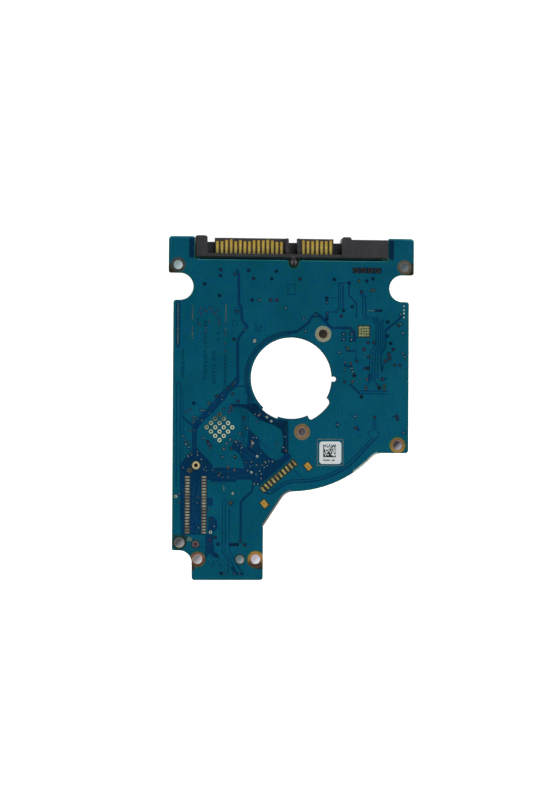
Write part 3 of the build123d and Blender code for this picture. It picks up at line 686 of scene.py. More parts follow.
class Layer:
    """Shapes of one finish, a little above one face of the board, gathered in one piece.

    Heights are in millimetres above the face, and a higher layer covers a lower one.
    """

    def __init__(self, name, look, height, slot="solder_mask", side=1, level=None):
        self.name, self.look, self.slot = name, look, slot
        self.height, self.side = height, side
        self.level = level if level is not None else (OUTER if side > 0 else INNER)
        self.points, self.faces = [], []
        self.shapes = 0

    def __enter__(self):
        return self

    def __exit__(self, error, *details):
        if error is None:
            self.finish()

    def point(self, x, y, rise=0.0):
        """A point in this layer; neighbouring shapes differ in height, so none share a plane."""
        height = self.height + SHAPE_STEP * (self.shapes % SHAPE_STEPS) + rise
        self.points.append((x * MM, (y + SPINDLE_Y) * MM, self.level + self.side * height * MM))
        return len(self.points) - 1

    def bridge(self, rows):
        """Faces between each row of points and the next."""
        for first, second in zip(rows, rows[1:]):
            for i in range(len(first) - 1):
                self.faces.append((first[i], first[i + 1], second[i + 1], second[i]))

    def line(self, points, width, rise=0.0, round_ends=True):
        """A strip along a line; with a rise, its middle stands higher than its sides."""
        self.shapes += 1
        half = width / 2
        crown = [(-CROWN, rise), (CROWN, rise)] if rise else []
        profile = [(-1, 0), *crown, (1, 0)]
        steps = mitres(points)
        rows = [
            [self.point(x - step.x * half * s, y - step.y * half * s, h) for s, h in profile]
            for (x, y), step in zip(points, steps)
        ]
        self.bridge(rows)
        if round_ends:
            for end, turn in ((0, 1), (-1, -1)):
                left = math.atan2(steps[end].y, steps[end].x)
                turns = [left + turn * math.pi * i / CAP_SIDES for i in range(1, CAP_SIDES)]
                cap = arc(*points[end], half, turns)
                self.faces.append(tuple(rows[end][::-1] + [self.point(*spot) for spot in cap]))

    def disc(self, x, y, radius, rise=0.0):
        """A round spot; with a rise, a low dome."""
        self.shapes += 1
        turns = [2 * math.pi * i / DISC_SIDES for i in range(DISC_SIDES)]
        top = [self.point(*spot) for spot in arc(x, y, radius, turns)]
        if rise:
            foot, top = top, [self.point(*spot, rise) for spot in arc(x, y, CROWN * radius, turns)]
            self.bridge([row + row[:1] for row in (foot, top)])
        self.faces.append(tuple(top))

    def ring(self, x, y, inner, outer, start=0.0, end=360.0):
        """A flat ring or part of one between two directions in degrees."""
        self.shapes += 1
        count = max(6, int(abs(end - start) / 7))
        angles = [math.radians(start + (end - start) * i / count) for i in range(count + 1)]
        sides = zip(arc(x, y, inner, angles), arc(x, y, outer, angles))
        self.bridge([[self.point(*spot) for spot in pair] for pair in sides])

    def patch(self, outline, windows=()):
        """A flat patch with any whole windows inside it left open."""
        self.shapes += 1
        holes = [w for w in windows if inside(w[0], outline) and inside(w[len(w) // 2], outline)]
        polygons = [outline, *holes]
        indices = [self.point(x, y) for polygon in polygons for x, y in polygon]
        for triangle in tessellate_polygon([[Vector((x, y, 0)) for x, y in p] for p in polygons]):
            self.faces.append(tuple(indices[i] for i in triangle))

    def block(self, x0, x1, y0, y1):
        self.patch([(x0, y0), (x1, y0), (x1, y1), (x0, y1)])

    def margin(self, outline, width, closed=True):
        """A strip on an outline's left, pinched where it would leave a narrow neck."""
        self.shapes += 1
        left_is_inside = doubled_area(outline) > 0
        outer = [self.point(x, y) for x, y in outline]
        inner = []
        for (x, y), step, point in zip(outline, mitres(outline, closed), outer):
            spot = (x + step.x * width, y + step.y * width)
            pinched = not step.length or closed and inside(spot, outline) != left_is_inside
            inner.append(point if pinched else self.point(*spot))
        count = len(outline)
        for i in range(count if closed else count - 1):
            j = (i + 1) % count
            face = tuple(dict.fromkeys((outer[i], outer[j], inner[j], inner[i])))
            if len(face) > 2:
                self.faces.append(face)

    def finish(self):
        mesh = bpy.data.meshes.new(self.name)
        mesh.from_pydata(self.points, [], self.faces)
        outward = [p.normal.z * self.side >= 0 for p in mesh.polygons]
        mesh.clear_geometry()
        faces = [face if out else face[::-1] for face, out in zip(self.faces, outward)]
        mesh.from_pydata(self.points, [], faces)
        mesh.materials.append(looks[self.look])
        piece = bpy.data.objects.new(self.name, mesh)
        bpy.context.scene.collection.objects.link(piece)
        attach(piece, "board")


def edge_strip(name, look, height, outline, width, closed=True, slot="solder_mask", side=1):
    """A piece of its own along the inside of an outline."""
    with Layer(name, look, height, slot, side) as layer:
        layer.margin(outline, width, closed)


outlines = flat_outlines("solder_mask_outer", OUTER)
outlines.sort(key=extent, reverse=True)
board_edge, spindle_edge = outlines[:2]
windows = outlines[2:]

edge_strip("mask_edge_margin", "margin", 0.004, board_edge, MASK_EDGE_WIDTH)
edge_strip("mask_rim_at_spindle", "olive", 0.004, spindle_edge, SPINDLE_RIM_WIDTH)

# Clearances round the copper pour

gap = Layer("pour_clearances", "gap", 0.008)
deep = Layer("wide_clearances", "deep", 0.0085)

WIDE_REGIONS = [
    # from the vertical channel's foot to the upper locator ring
    [(-15.2, 0.4), (-16.0, -0.6), (-18.0, -2.6), (-20.5, -5.2), (-22.6, -7.8), (-24.2, -9.4),
     (-26.5, -11.9), (-27.3, -13.2), (-27.3, -19.4), (-26.1, -19.0), (-26.1, -16.5), (-25.9, -14.2),
     (-24.2, -12.0), (-21.7, -9.7), (-20.6, -8.4), (-17.9, -5.7), (-17.5, -4.7), (-16.8, -3.9),
     (-15.4, -2.7), (-14.3, -1.2), (-14.3, 0.4)],
    # round the upper locator ring
    [(-27.2, -19.4), (-28.7, -21.6), (-30.6, -23.9), (-30.6, -26.9), (-23.05, -26.9),
     (-22.6, -25.6), (-21.5, -24.3), (-23.4, -22.0), (-25.3, -20.0), (-26.1, -19.0)],
    # round the two columns of pads
    [(-30.6, -26.9), (-30.3, -43.2), (-23.05, -43.2), (-23.05, -26.9)],
    # to the right of the pads' top
    [(-23.05, -24.9), (-18.0, -24.7), (-12.6, -24.9), (-10.9, -27.4), (-11.0, -28.0),
     (-14.8, -28.0), (-15.3, -28.7), (-22.0, -28.7), (-22.3, -28.1), (-23.05, -28.1)],
    # diagonal field up to the service pads
    [(-16.3, -18.3), (-15.3, -17.2), (-14.0, -17.6), (-13.2, -19.0), (-12.2, -19.4), (-11.8, -14.4),
     (-11.2, -14.3), (-9.9, -15.8), (-8.8, -17.3), (-8.4, -19.3), (-6.9, -20.9), (-5.9, -21.9),
     (-4.2, -22.6), (-2.8, -22.0), (-1.6, -21.0), (-0.9, -20.4), (-0.3, -21.0), (0.3, -21.8),
     (-0.1, -22.1), (-3.2, -24.9), (-8.6, -29.6), (-10.4, -29.6), (-10.9, -28.0), (-11.0, -27.6),
     (-12.6, -26.2), (-13.0, -24.6), (-13.5, -22.6), (-14.6, -20.7), (-16.2, -19.6)],
    # along the opening's lower left and down the right of the round island
    [(-16.3, -7.2), (-12.3, -7.3), (-10.2, -6.9), (-9.4, -7.3), (-8.5, -8.5), (-6.3, -10.3),
     (-4.1, -11.6), (-3.0, -11.5), (-0.8, -11.7), (-0.7, -16.0), (-0.7, -20.4), (-1.0, -20.9),
     (-1.7, -21.2), (-2.9, -20.4), (-2.2, -18.4), (-2.1, -16.2), (-2.9, -14.2), (-4.6, -13.0),
     (-6.6, -12.4), (-8.6, -11.6), (-10.3, -10.4), (-12.0, -8.9), (-13.4, -8.1), (-16.3, -7.9)],
    # below the pads, towards the tail
    [(-23.5, -43.2), (-21.4, -43.2), (-21.2, -46.0), (-21.0, -47.6), (-19.6, -49.2), (-21.4, -49.4),
     (-22.2, -48.2), (-23.5, -49.6)],
    [(-23.0, -33.0), (-21.5, -33.0), (-21.5, -35.2), (-23.0, -35.2)],
    [(-22.7, -38.4), (-21.4, -38.0), (-20.2, -39.6), (-20.2, -41.4), (-21.4, -42.6),
     (-22.7, -42.4)],
    # between the connector and the ears
    [(-28.4, 33.0), (-27.05, 33.0), (-27.05, 38.4), (-28.4, 38.4)],
    [(27.05, 33.0), (28.4, 33.0), (28.4, 38.4), (27.05, 38.4)],
    # right-hand patches
    [(24.8, 4.0), (25.7, 4.0), (25.5, 2.0), (24.9, 2.0)],
    [(21.3, 1.2), (22.3, 1.4), (22.1, -0.4), (21.2, -0.2)],
]
DEEP_REGIONS = (5, 9, 10)
for number, region in enumerate(WIDE_REGIONS):
    (deep if number in DEEP_REGIONS else gap).patch(region, windows)

ARC_START, ARC_END = 91, 212
with Layer("spindle_clearance", "arc", 0.007) as arc_band:
    arc_band.ring(0, 0, 11.9, 13.1, ARC_START, ARC_END)
for radius in (11.95, 13.05):
    gap.ring(0, 0, radius - 0.07, radius + 0.07, ARC_START, ARC_END)

CHANNELS = [
    # (width, points)
    (0.75, [(-15.2, 29.6), (-14.7, 28.4), (-14.6, 20.3), (-14.0, 19.6), (-13.7, 15.8),
            (-12.3, 14.1), (-14.4, 11.3), (-14.9, 9.7), (-14.8, 0.2)]),
    (0.8, [(-0.6, 12.6), (1.4, 12.9), (4.6, 15.2), (5.6, 16.9), (6.6, 17.6), (8.0, 17.2),
           (10.5, 14.5), (11.5, 14.0), (16.3, 14.0), (17.4, 13.0), (17.6, 10.6)]),
    (0.35, [(-15.7, -2.35), (-12.2, -2.3)]),
    (0.4, [(15.9, 26.4), (15.9, 23.0), (17.0, 22.0), (17.7, 21.1), (18.0, 20.4), (18.0, 16.8)]),
    (0.32, [(19.1, 23.4), (19.75, 22.4), (19.8, 17.6), (20.6, 16.4)]),
    (0.32, [(19.6, 23.6), (20.5, 22.6), (20.7, 17.4), (21.4, 16.6)]),
    (0.26, [(12.75, 26.3), (14.2, 26.4), (15.5, 26.4)]),
    (0.28, [(13.0, 26.3), (13.0, 19.6), (11.9, 18.4), (9.9, 18.4)]),
    (0.28, [(13.6, 26.0), (13.6, 19.6), (12.3, 18.0)]),
    (0.4, [(14.3, 25.8), (14.3, 19.2)]),
    (0.2, [(9.9, 22.3), (12.8, 22.3)]),
    (0.3, [(22.0, 17.2), (22.6, 16.4), (23.5, 15.0), (23.5, 9.4), (21.9, 7.6), (21.7, 0.4)]),
    (0.3, [(22.7, 17.2), (23.3, 16.4), (24.2, 15.1), (24.2, 9.0), (22.6, 7.2), (22.5, 0.2),
           (21.3, -1.2)]),
    (0.3, [(23.5, 17.2), (24.1, 16.4), (24.8, 15.2), (24.8, 8.8), (23.3, 7.0), (23.2, -0.6),
           (24.3, -1.9)]),
    (0.3, [(25.4, 16.4), (25.4, 8.6), (24.0, 6.8), (24.0, 0.2)]),
    (0.42, [(26.1, 13.8), (26.1, 8.6), (24.9, 6.8), (24.9, 4.2)]),
    (0.6, [(30.6, 17.4), (28.9, 15.6), (27.2, 14.4), (26.4, 13.6)]),
    (0.6, [(16.4, -1.7), (18.9, -3.9)]),
    (0.26, [(18.9, -3.35), (26.8, -3.4)]),
    (0.26, [(18.5, -4.1), (26.8, -4.15)]),
    (0.42, [(14.9, 8.9), (15.4, 7.6), (17.6, 7.7), (17.9, 8.2), (17.9, 5.0)]),
    (0.26, [(22.9, -11.4), (22.9, -14.0), (21.2, -14.9), (22.3, -16.3), (22.9, -16.5)]),
    (0.26, [(23.5, -11.4), (23.5, -14.2), (24.6, -15.4), (23.4, -16.8)]),
    (0.3, smooth([(22.6, -16.4), (20.5, -18.6), (17.0, -22.2), (14.3, -24.4), (12.0, -25.7),
                  (8.0, -27.3), (4.0, -27.9), (0.4, -28.1), (-2.2, -28.9), (-3.6, -29.8),
                  (-5.4, -30.9), (-6.6, -30.6)])),
    (0.42, smooth([(23.2, -16.9), (21.0, -19.2), (17.6, -22.8), (14.8, -25.1), (12.2, -26.4),
                   (8.2, -28.0), (4.0, -28.6), (0.2, -28.8), (-2.0, -29.6), (-3.6, -30.6),
                   (-5.6, -31.8), (-7.2, -31.5)])),
    (0.22, [(0.8, -25.3), (3.4, -27.7)]),
    (0.24, [(-31.6, -1.6), (-31.6, -30.0)]),
    (0.24, [(-30.55, -1.6), (-30.55, -27.0)]),
    (0.2, [(-31.6, -1.6), (-31.1, -1.3), (-30.55, -1.6)]),
    (0.14, [(-30.0, -3.4), (-29.8, -6.0), (-29.8, -22.0)]),
    (0.26, [(-18.0, -33.3), (-18.8, -34.6), (-18.8, -48.0), (-17.2, -50.2), (-17.2, -53.9)]),
    (0.26, [(-17.5, -33.9), (-18.0, -34.8), (-18.0, -48.0), (-16.6, -49.8), (-15.2, -53.0)]),
    (0.26, [(-16.9, -36.2), (-16.9, -47.4), (-15.9, -49.2), (-14.4, -52.0), (-12.9, -53.8)]),
    (0.62, [(-10.5, -29.6), (-10.7, -31.2), (-13.3, -33.6), (-13.8, -34.5), (-13.8, -44.4)]),
    (0.7, [(-16.2, -52.2), (-14.9, -53.8), (-13.3, -54.0)]),
    (0.16, [(-23.6, -46.4), (-27.4, -46.6)]),
    (0.2, [(-16.0, -7.9), (-14.8, -8.6), (-14.0, -9.8), (-13.6, -11.4), (-13.6, -17.0),
           (-12.9, -18.6), (-9.6, -21.2)]),
    (0.2, [(-15.6, -7.5), (-14.4, -8.1), (-13.5, -9.4), (-13.05, -11.2), (-13.05, -17.2),
           (-12.3, -18.4), (-9.2, -20.8)]),
    (0.2, [(-15.0, -7.2), (-13.9, -7.7), (-12.9, -9.0), (-12.5, -10.9), (-12.5, -16.2)]),
    (0.2, [(-14.2, -7.2), (-13.2, -7.5), (-12.2, -8.8), (-11.9, -10.6), (-11.9, -14.4)]),
    (0.2, [(-10.0, -16.0), (-7.6, -18.2), (-6.6, -19.6)]),
    (0.2, [(-9.0, -8.9), (-6.9, -10.6), (-4.8, -11.6)]),
    (0.5, [(-27.4, -13.0), (-28.6, -12.2), (-30.0, -10.6)]),
    (0.16, [(-22.6, -6.4), (-23.3, -7.4)]),
    (0.3, [(-26.3, -14.4), (-26.4, -18.9)]),
    (0.9, [(9.75, 22.1), (9.75, 20.8)]),
    (0.9, [(9.8, 18.0), (9.8, 16.4)]),
    (0.9, [(6.75, 18.0), (6.5, 17.2)]),
    (0.85, [(12.9, -12.3), (12.9, -13.2)]),
    (0.8, [(18.2, -13.4), (18.7, -14.1)]),
    (0.45, [(28.2, -10.6), (29.3, -10.2)]),
    (0.5, [(27.2, 7.4), (27.6, 5.6), (26.2, 4.9)]),
    (0.7, [(25.0, -0.1), (26.2, 0.0)]),
    (0.6, [(16.2, 3.4), (14.9, 3.5), (14.9, 4.6)]),
    (0.5, [(16.5, 4.3), (17.0, 2.2)]),
]
for width, points in CHANNELS:
    gap.line(points, width)

# Outlines of rectangular lands seen through the mask
for x0, x1, y0, y1, width in [
    (-1.1, 1.0, 23.1, 26.0, 0.18), (14.0, 15.0, 10.5, 12.8, 0.22), (16.1, 17.2, 10.3, 12.9, 0.22),
    (-15.8, -14.6, 17.4, 19.4, 0.16), (-16.3, -15.2, 14.3, 15.7, 0.14),
    (-12.0, -11.6, -2.6, -7.0, 0.3),
]:
    gap.line([(x0, y0), (x1, y0), (x1, y1), (x0, y1), (x0, y0)], width)
gap.finish()
deep.finish()

# Copper under the mask inside those clearances

TRACES = [
    [(5.0, 15.6), (5.9, 16.9), (6.8, 17.3)],
    [(-13.2, -11.6), (-13.2, -18.0), (-12.6, -19.2), (-9.2, -21.6), (-8.4, -22.6)],
    [(-12.4, -19.9), (-9.6, -22.0), (-8.8, -23.6)],
    [(-13.0, -20.8), (-10.2, -23.0), (-9.4, -25.0)],
    [(-14.2, -8.0), (-12.6, -9.2), (-11.6, -10.6)],
    [(-17.6, -2.2), (-18.5, -3.2), (-18.6, -5.0)],
    [(-20.4, -6.4), (-21.6, -7.8), (-22.8, -9.6)],
    [(-26.9, -14.6), (-26.8, -19.0), (-27.6, -20.6), (-28.0, -21.8)],
    [(-22.4, -27.4), (-15.6, -27.5), (-13.6, -26.9), (-11.2, -26.9)],
    [(-22.4, -26.0), (-18.6, -25.8), (-14.2, -25.8)],
    [(-26.4, -27.6), (-26.6, -30.4), (-27.2, -33.0), (-26.9, -36.8), (-27.3, -42.6)],
    [(-25.4, -28.2), (-25.2, -31.0), (-26.2, -33.4), (-26.0, -40.0), (-25.2, -42.6)],
    [(-29.8, -27.6), (-29.9, -30.8), (-29.7, -33.6), (-29.8, -42.4)],
    [(-22.9, -44.0), (-22.6, -46.2), (-22.9, -48.2)],
    [(-1.2, -12.4), (-1.2, -19.8)],
    [(-9.4, -8.9), (-7.2, -10.8), (-4.6, -12.0), (-1.8, -12.2)],
    [(-5.8, -23.2), (-7.6, -24.8), (-7.8, -26.6)],
    [(-7.2, -22.2), (-8.0, -24.2), (-9.6, -26.8), (-9.8, -28.8)],
]
TRACE_RISE = 0.006
with Layer("masked_traces", "trace", 0.015) as trace:
    for points in TRACES:
        trace.line(points, 0.14, TRACE_RISE)
    trace.line([(22.2, 0.9), (22.05, -0.1)], 0.2, TRACE_RISE)
    for i in range(8):
        row = -28.2 - 1.8 * i
        for start, end in ((-27.6, -26.6), (-24.9, -25.6)):
            trace.line([(start, row), (end, row - 0.5)], 0.12, TRACE_RISE)

# Legend: generic bars in place of the printed and etched lines of text

bar = Layer("legend_bars", "bar", 0.015)
mark = Layer("legend_marks", "mark", 0.021)
etched = Layer("etched_marks", "etched", 0.015)


def print_line(x, top, bottom, width):
    """A faint bar with uneven pale strokes across it, as a line of fine print reads from afar."""
    bar.line([(x, top), (x, bottom)], width, round_ends=False)
    y = top - 0.1
    while y > bottom + 0.2:
        reach = width * rng.uniform(0.3, 0.5)
        mark.line([(x - reach, y), (x + reach, y)], rng.uniform(0.12, 0.26), round_ends=False)
        y -= rng.uniform(0.36, 0.62)


def etched_line(x, top, bottom, width, share):
    """A column of meaningless blocks the size of characters."""
    y = top
    while y > bottom:
        length = rng.uniform(0.5, 0.75)
        if rng.random() < share:
            left, right = x - width / 2, x + width / 2
            middle = y - length / 2
            for height in rng.sample([y, middle, y - length], 2):
                etched.line([(left, height), (right, height)], 0.16, round_ends=False)
            side = rng.choice([left, right, x])
            etched.line([(side, y), (side, y - length)], 0.16, round_ends=False)
        y -= length + 0.4


def chain(x, top, bottom):
    """Narrow loops end to end."""
    y = top
    while y > bottom:
        low = y - rng.uniform(0.7, 1.0)
        left = [(x - 0.2, y), (x - 0.3, y - 0.18), (x - 0.3, low + 0.18), (x - 0.2, low)]
        right = [(x + 0.2, low), (x + 0.3, low + 0.18), (x + 0.3, y - 0.18), (x + 0.2, y)]
        etched.line([*left, *right, left[0]], 0.15, round_ends=False)
        y = low - 0.14


for x, top, bottom in [
    (-27.4, 20.0, 15.7), (-27.4, 14.0, 11.2), (-27.4, 10.9, 10.5), (-18.2, 20.0, 14.8),
    (-18.2, 13.7, 12.6),
]:
    print_line(x, top, bottom, 0.42)
chain(-18.3, 6.6, -2.6)
chain(-30.0, 7.9, 0.4)
print_line(-31.35, 20.4, 8.7, 0.5)
for x, top, bottom, width, share in [
    (-23.8, 15.6, 0.4, 0.9, 0.85), (-21.4, 8.2, -1.8, 0.85, 0.85), (-25.9, 16.4, 13.5, 0.6, 0.5),
    (-20.2, 12.6, 9.8, 0.6, 0.4), (-9.8, 15.4, 12.9, 0.7, 0.9), (-8.6, 14.6, 12.9, 0.7, 0.9),
    *((-23.4 + 0.75 * i, -49.2, -51.6, 0.4, 0.6) for i in range(7)),
]:
    etched_line(x, top, bottom, width, share)
mark.line([(21.2, 18.9), (23.2, 18.9)], 0.12)
bar.line([(-22.5, -29.2), (-18.0, -29.2)], 0.14)
mark.line([(-18.5, -29.7), (-18.5, -31.0)], 0.18)
with Layer("left_edge_bar", "gap", 0.007) as side_bar:
    side_bar.line([(-31.35, 20.3), (-31.35, 8.8)], 1.25)
for layer in (bar, mark, etched):
    layer.finish()

# Vias: a dark clearance, a domed cap of copper or tin and its pit

class ViaField:
    """All the vias of one face."""

    def __init__(self, side, ending=""):
        self.caps = {
            name: Layer("via_caps_" + name + ending, "via_" + name, 0.024, "tarnished_copper", side)
            for name in VIA_LOOKS
        }
        self.rims = Layer("via_clearances" + ending, "deep", 0.016, side=side)
        self.pits = Layer("via_pits" + ending, "via_dark", 0.040, "tarnished_copper", side)

    def add(self, name, x, y, size=1.0):
        rim, cap = VIA_LOOKS[name][:2]
        self.rims.disc(x, y, rim * size)
        self.caps[name].disc(x, y, cap * size, 0.008)
        self.pits.disc(x, y, cap * size * (0.5 if name == "bright" else 0.35))

    def finish(self):
        for layer in [*self.caps.values(), self.rims, self.pits]:
            if layer.faces:
                layer.finish()


outer_vias = ViaField(1)
inner_vias = ViaField(-1, "_inner")

VIAS = {
    "dark": [(-12.0, 29.6), (-5.6, 27.4), (-20.0, 22.6), (-11.0, 21.5), (-24.1, 25.8),
             (-19.7, 28.1), (-4.3, 29.5), (11.8, 27.4), (15.9, 26.5), (20.8, 27.1), (22.5, 27.7),
             (9.7, 22.2), (16.8, 19.9), (14.4, 18.8), (26.7, 15.8), (26.6, 11.9), (9.8, 16.4),
             (-26.9, -7.1), (-19.1, -53.8), (27.6, 9.9), (-16.5, -45.9), (-15.6, -45.9),
             (-14.7, -45.9), (-20.0, -45.8), (-20.4, -49.0)],
    "rust": [(-19.7, 29.7), (-10.6, 27.4), (-15.9, 10.6), (2.2, 27.4), (19.4, 24.1), (13.8, 17.3),
             (28.3, 8.2), (-23.0, -17.6), (-12.6, -45.9), (-20.8, -43.9), (29.4, -10.3),
             (29.6, -11.1)],
    "tarry": [(17.5, 0.9), (19.5, -5.0), (21.3, 2.9), (24.5, -2.5)],
    "plum": [(-5.8, 21.5), (-4.1, 21.5), (20.2, 8.1), (25.3, -0.1), (-22.2, -44.6)],
    "brown": [(-15.8, 28.5), (-15.1, 18.3), (21.4, 6.0), (18.2, 4.8), (29.8, 14.8), (27.1, 7.0),
              (21.3, 10.0), (22.9, 10.0), (-16.2, -1.9), (-17.7, -3.0), (-16.2, -4.5),
              (-20.7, -5.1), (-20.2, -5.1), (-13.1, -11.0), (-22.3, -18.7), (-16.6, -19.4),
              (23.2, -10.7), (14.8, -0.9), (28.8, 3.9), (30.2, 3.8), (20.4, 2.8), (-14.7, -6.5),
              (-13.8, -45.0), (-22.1, -39.0), (26.0, 4.8), (-16.4, -19.5), (-15.4, -21.9),
              (27.1, 6.4), (27.5, 5.6), (26.4, 5.2), (-16.8, -8.2), (-16.4, -7.7)],
    "olive": [(18.6, 27.1), (22.2, 24.5), (22.8, 24.5), (15.6, 8.2), (25.9, -1.8), (25.9, -2.8),
              (20.8, -2.8), (17.8, -13.7), (-16.6, -34.5), (-22.8, -7.0)],
    "orange": [(16.5, 4.2), (17.0, -0.8), (21.0, -0.2), (-18.5, -19.5), (-17.3, -24.7),
               (-15.6, -25.4), (-10.8, -17.4), (-10.9, -18.8), (-19.9, -26.8), (-1.4, -20.0),
               (-8.7, -10.1)],
    "grey": [(-9.3, 21.5), (-8.7, 21.5), (-12.9, 13.2), (9.8, 21.0), (9.8, 17.9), (-15.6, -1.3),
             (-19.1, -4.9), (-19.1, -6.0), (-24.5, -9.0), (-28.9, -9.5), (-26.8, -10.9),
             (-24.3, -16.6), (-18.8, -21.8), (-24.0, -25.3), (20.8, -2.1), (14.9, 4.5), (14.9, 2.4),
             (6.6, 17.5), (-9.2, -12.0), (-3.9, -18.0), (-27.4, -21.4), (-28.2, -17.9),
             (-23.6, -24.6), (-16.7, -8.0), (-18.6, -8.6), (-13.9, -19.4), (-17.3, -27.3),
             (-18.8, -27.4), (-10.8, -23.0), (-7.9, -24.0), (-30.7, -34.2), (-25.6, -32.9),
             (-25.8, -34.5), (-22.6, -36.1), (-18.3, -53.9), (-15.6, -53.8), (-14.0, -53.9),
             (-29.7, -24.8), (-17.2, -9.6), (-16.8, -8.7), (23.9, -2.0), (-27.9, -8.8),
             (-25.0, -9.0), (-24.0, -9.1), (-26.6, -10.8), (-27.2, -11.5), (-26.0, -11.4),
             (-26.9, -12.3), (-24.6, -11.8), (-22.6, -9.8), (-27.9, -14.6), (-26.7, -14.5),
             (-29.7, -16.1), (-24.2, -16.7), (-22.8, -18.2), (-22.2, -19.4), (-27.7, -20.9),
             (-28.3, -21.8), (-25.8, -20.4), (-19.0, -21.9), (-17.0, -9.4), (-16.2, -9.0),
             (-16.0, -17.7), (-15.4, -17.4), (-14.2, -17.5), (-14.8, -18.5), (-13.7, -18.5),
             (-13.7, -20.5), (-8.3, -20.7), (-11.2, -24.4), (-12.4, -23.3), (-29.1, -17.3),
             (-23.3, -25.6), (-21.6, -25.4), (-19.4, -26.3)],
    "pale": [(-1.7, 19.3), (3.4, 16.5), (3.9, 13.0), (13.3, 7.2), (30.4, 17.9), (31.0, 12.7),
             (31.0, 7.0), (31.5, 6.1), (30.3, 15.2), (14.5, 12.3), (14.5, 10.8), (16.7, 12.4),
             (16.6, 10.8), (-16.8, -16.8), (-15.1, -17.7), (-28.9, -18.3), (-28.2, -19.2),
             (-13.5, -19.2), (-9.6, -16.5), (-1.6, -16.2), (-2.1, -19.1), (-15.5, -21.7),
             (-28.4, -21.4), (-25.8, -21.3), (-24.7, -22.5), (-12.0, -25.6), (12.9, -12.8),
             (31.3, -14.9), (16.8, 2.9), (17.0, 2.0), (-10.0, -10.0), (-9.0, -10.4), (-5.1, -23.0),
             (-10.4, -16.4), (-7.4, -24.6), (-8.6, -25.6), (-7.0, -23.4), (-9.6, -26.6),
             (-12.1, -13.9), (-14.1, -15.3), (-17.8, -18.0), (-30.7, -32.0), (-21.1, -40.9),
             (-25.4, -41.3), (-8.2, -27.7), (17.8, -10.4), (-9.1, -29.2), (-10.1, -29.2),
             (-17.8, -18.2), (-29.1, -18.3), (-7.1, -23.1), (-6.1, -22.9), (-10.9, -23.1),
             (-18.6, -19.7), (-16.8, -17.1), (-9.5, -24.0), (-8.2, -26.4), (-6.6, -24.2)],
    "bright": [(-10.2, 10.2), (-6.7, -10.8), (-5.5, -11.9), (-10.6, -18.0), (-9.3, -21.6),
               (-10.9, -26.0), (-31.7, -32.7), (-22.1, -42.5), (-16.0, -31.8)],
}
LARGE_VIAS = [(-10.2, 10.2), (-31.7, -32.7), (-22.1, -42.5), (-16.6, -34.5)]
CONNECTOR_EDGE = 27.5  # beyond it the connector's foot covers the inner face
for via_name, places in VIAS.items():
    for x, y in places:
        size = 1.35 if (x, y) in LARGE_VIAS else 1.0
        outer_vias.add(via_name, x, y, size)
        if y < CONNECTOR_EDGE:
            inner_vias.add(via_name, x, y, 0.8 * size)
for y in (20.2, 19.1, 18.2, 17.1):
    outer_vias.caps["bright"].disc(31.3, y, 0.24, 0.01)
for x in (23.4, 24.2, 24.9):
    outer_vias.add("dark", x, 18.9, 0.8)
for x, y in [
    (-25.4, 17.9), (-24.9, 17.4), (-24.1, 18.6), (-23.5, 18.2), (-22.6, 19.3), (-22.2, 18.8),
    (-21.5, 17.9), (-20.9, 17.4), (-20.2, 16.4), (-20.1, 15.5), (-20.1, 14.7), (-18.3, 12.0),
    (-18.4, 9.4), (-18.3, 7.4), (-25.2, 19.0), (-23.6, 13.7), (-23.7, 12.6), (-25.4, 14.6),
    (-20.4, 18.6), (-22.9, 15.2),
]:
    outer_vias.add("grey", x, y, 0.9)
outer_vias.finish()

# Windows: dark grooves round the pads, and the shaded bottom of the jumper's window

with Layer("pad_window_grooves", "groove", 0.0095) as grooves:
    for window in windows:
        if extent(window) < 3.2:
            grooves.margin(window, 0.2 if extent(window) > 1.5 else 0.07)

with Layer("thermal_via_pits", "pit", 0.006, "tarnished_copper") as pits:
    step = DRIVER_VIA_PITCH * math.sqrt(0.5)
    for i in range(4):
        for j in range(4):
            pits.disc(DRIVER[0] + (i - j) * step, DRIVER[1] + (i + j - 3) * step, 0.27)

jumper_holes = [
    arc(17.85 + 2.0 * i, 30.0, 0.66, [math.radians(-20 * j) for j in range(18)]) for i in range(4)
]
with Layer("jumper_window_shade", "pill", 0.004, level=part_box("board_laminate")[1].z) as pill:
    pill.patch([
        (17.1, 29.34), (24.6, 29.34), (24.78, 29.6), (24.78, 30.4), (24.6, 30.66), (17.1, 30.66),
        (16.92, 30.4), (16.92, 29.6),
    ], jumper_holes)
with Layer("jumper_window_frame", "pill", 0.0065) as pill_frame:
    pill_frame.patch([(16.85, 29.2), (24.95, 29.2), (24.95, 30.8), (16.85, 30.8)], windows)

# Cut edges that catch the light

with Layer("lit_mask_edges", "lit_edge", 0.0105) as lit:
    for side in (-1, 1):
        lit.margin([p for p in board_edge if p[1] > 38.1 and p[0] * side > 0], 0.4, closed=False)
    for start, end in ((-26.2, -1.6), (2.7, 26.2)):
        lit.line([(start, 32.47), (end, 32.47)], 0.17, round_ends=False)


def edge_run(test):
    """The outline's points that pass a test, in order and without a break."""
    kept = [test(*p) for p in board_edge]
    first = next(i for i in range(len(kept)) if kept[i] and not kept[i - 1])
    run = []
    while kept[first % len(kept)]:
        run.append(board_edge[first % len(kept)])
        first += 1
    return run


shoulder = edge_run(lambda x, y: -7.7 < x < 0.6 and -41.2 < y < -30.0)
edge_strip("bare_shoulder_edge", "bare", 0.0105, shoulder, 0.46, False, "laminate")
right_curve = edge_run(lambda x, y: 16.5 < x < 24.6 and -28 < y < -20)
edge_strip("frayed_arc_edge", "frayed", 0.0105, right_curve, 0.5, False, "laminate")

# Stains and bare patches beside the screw rings

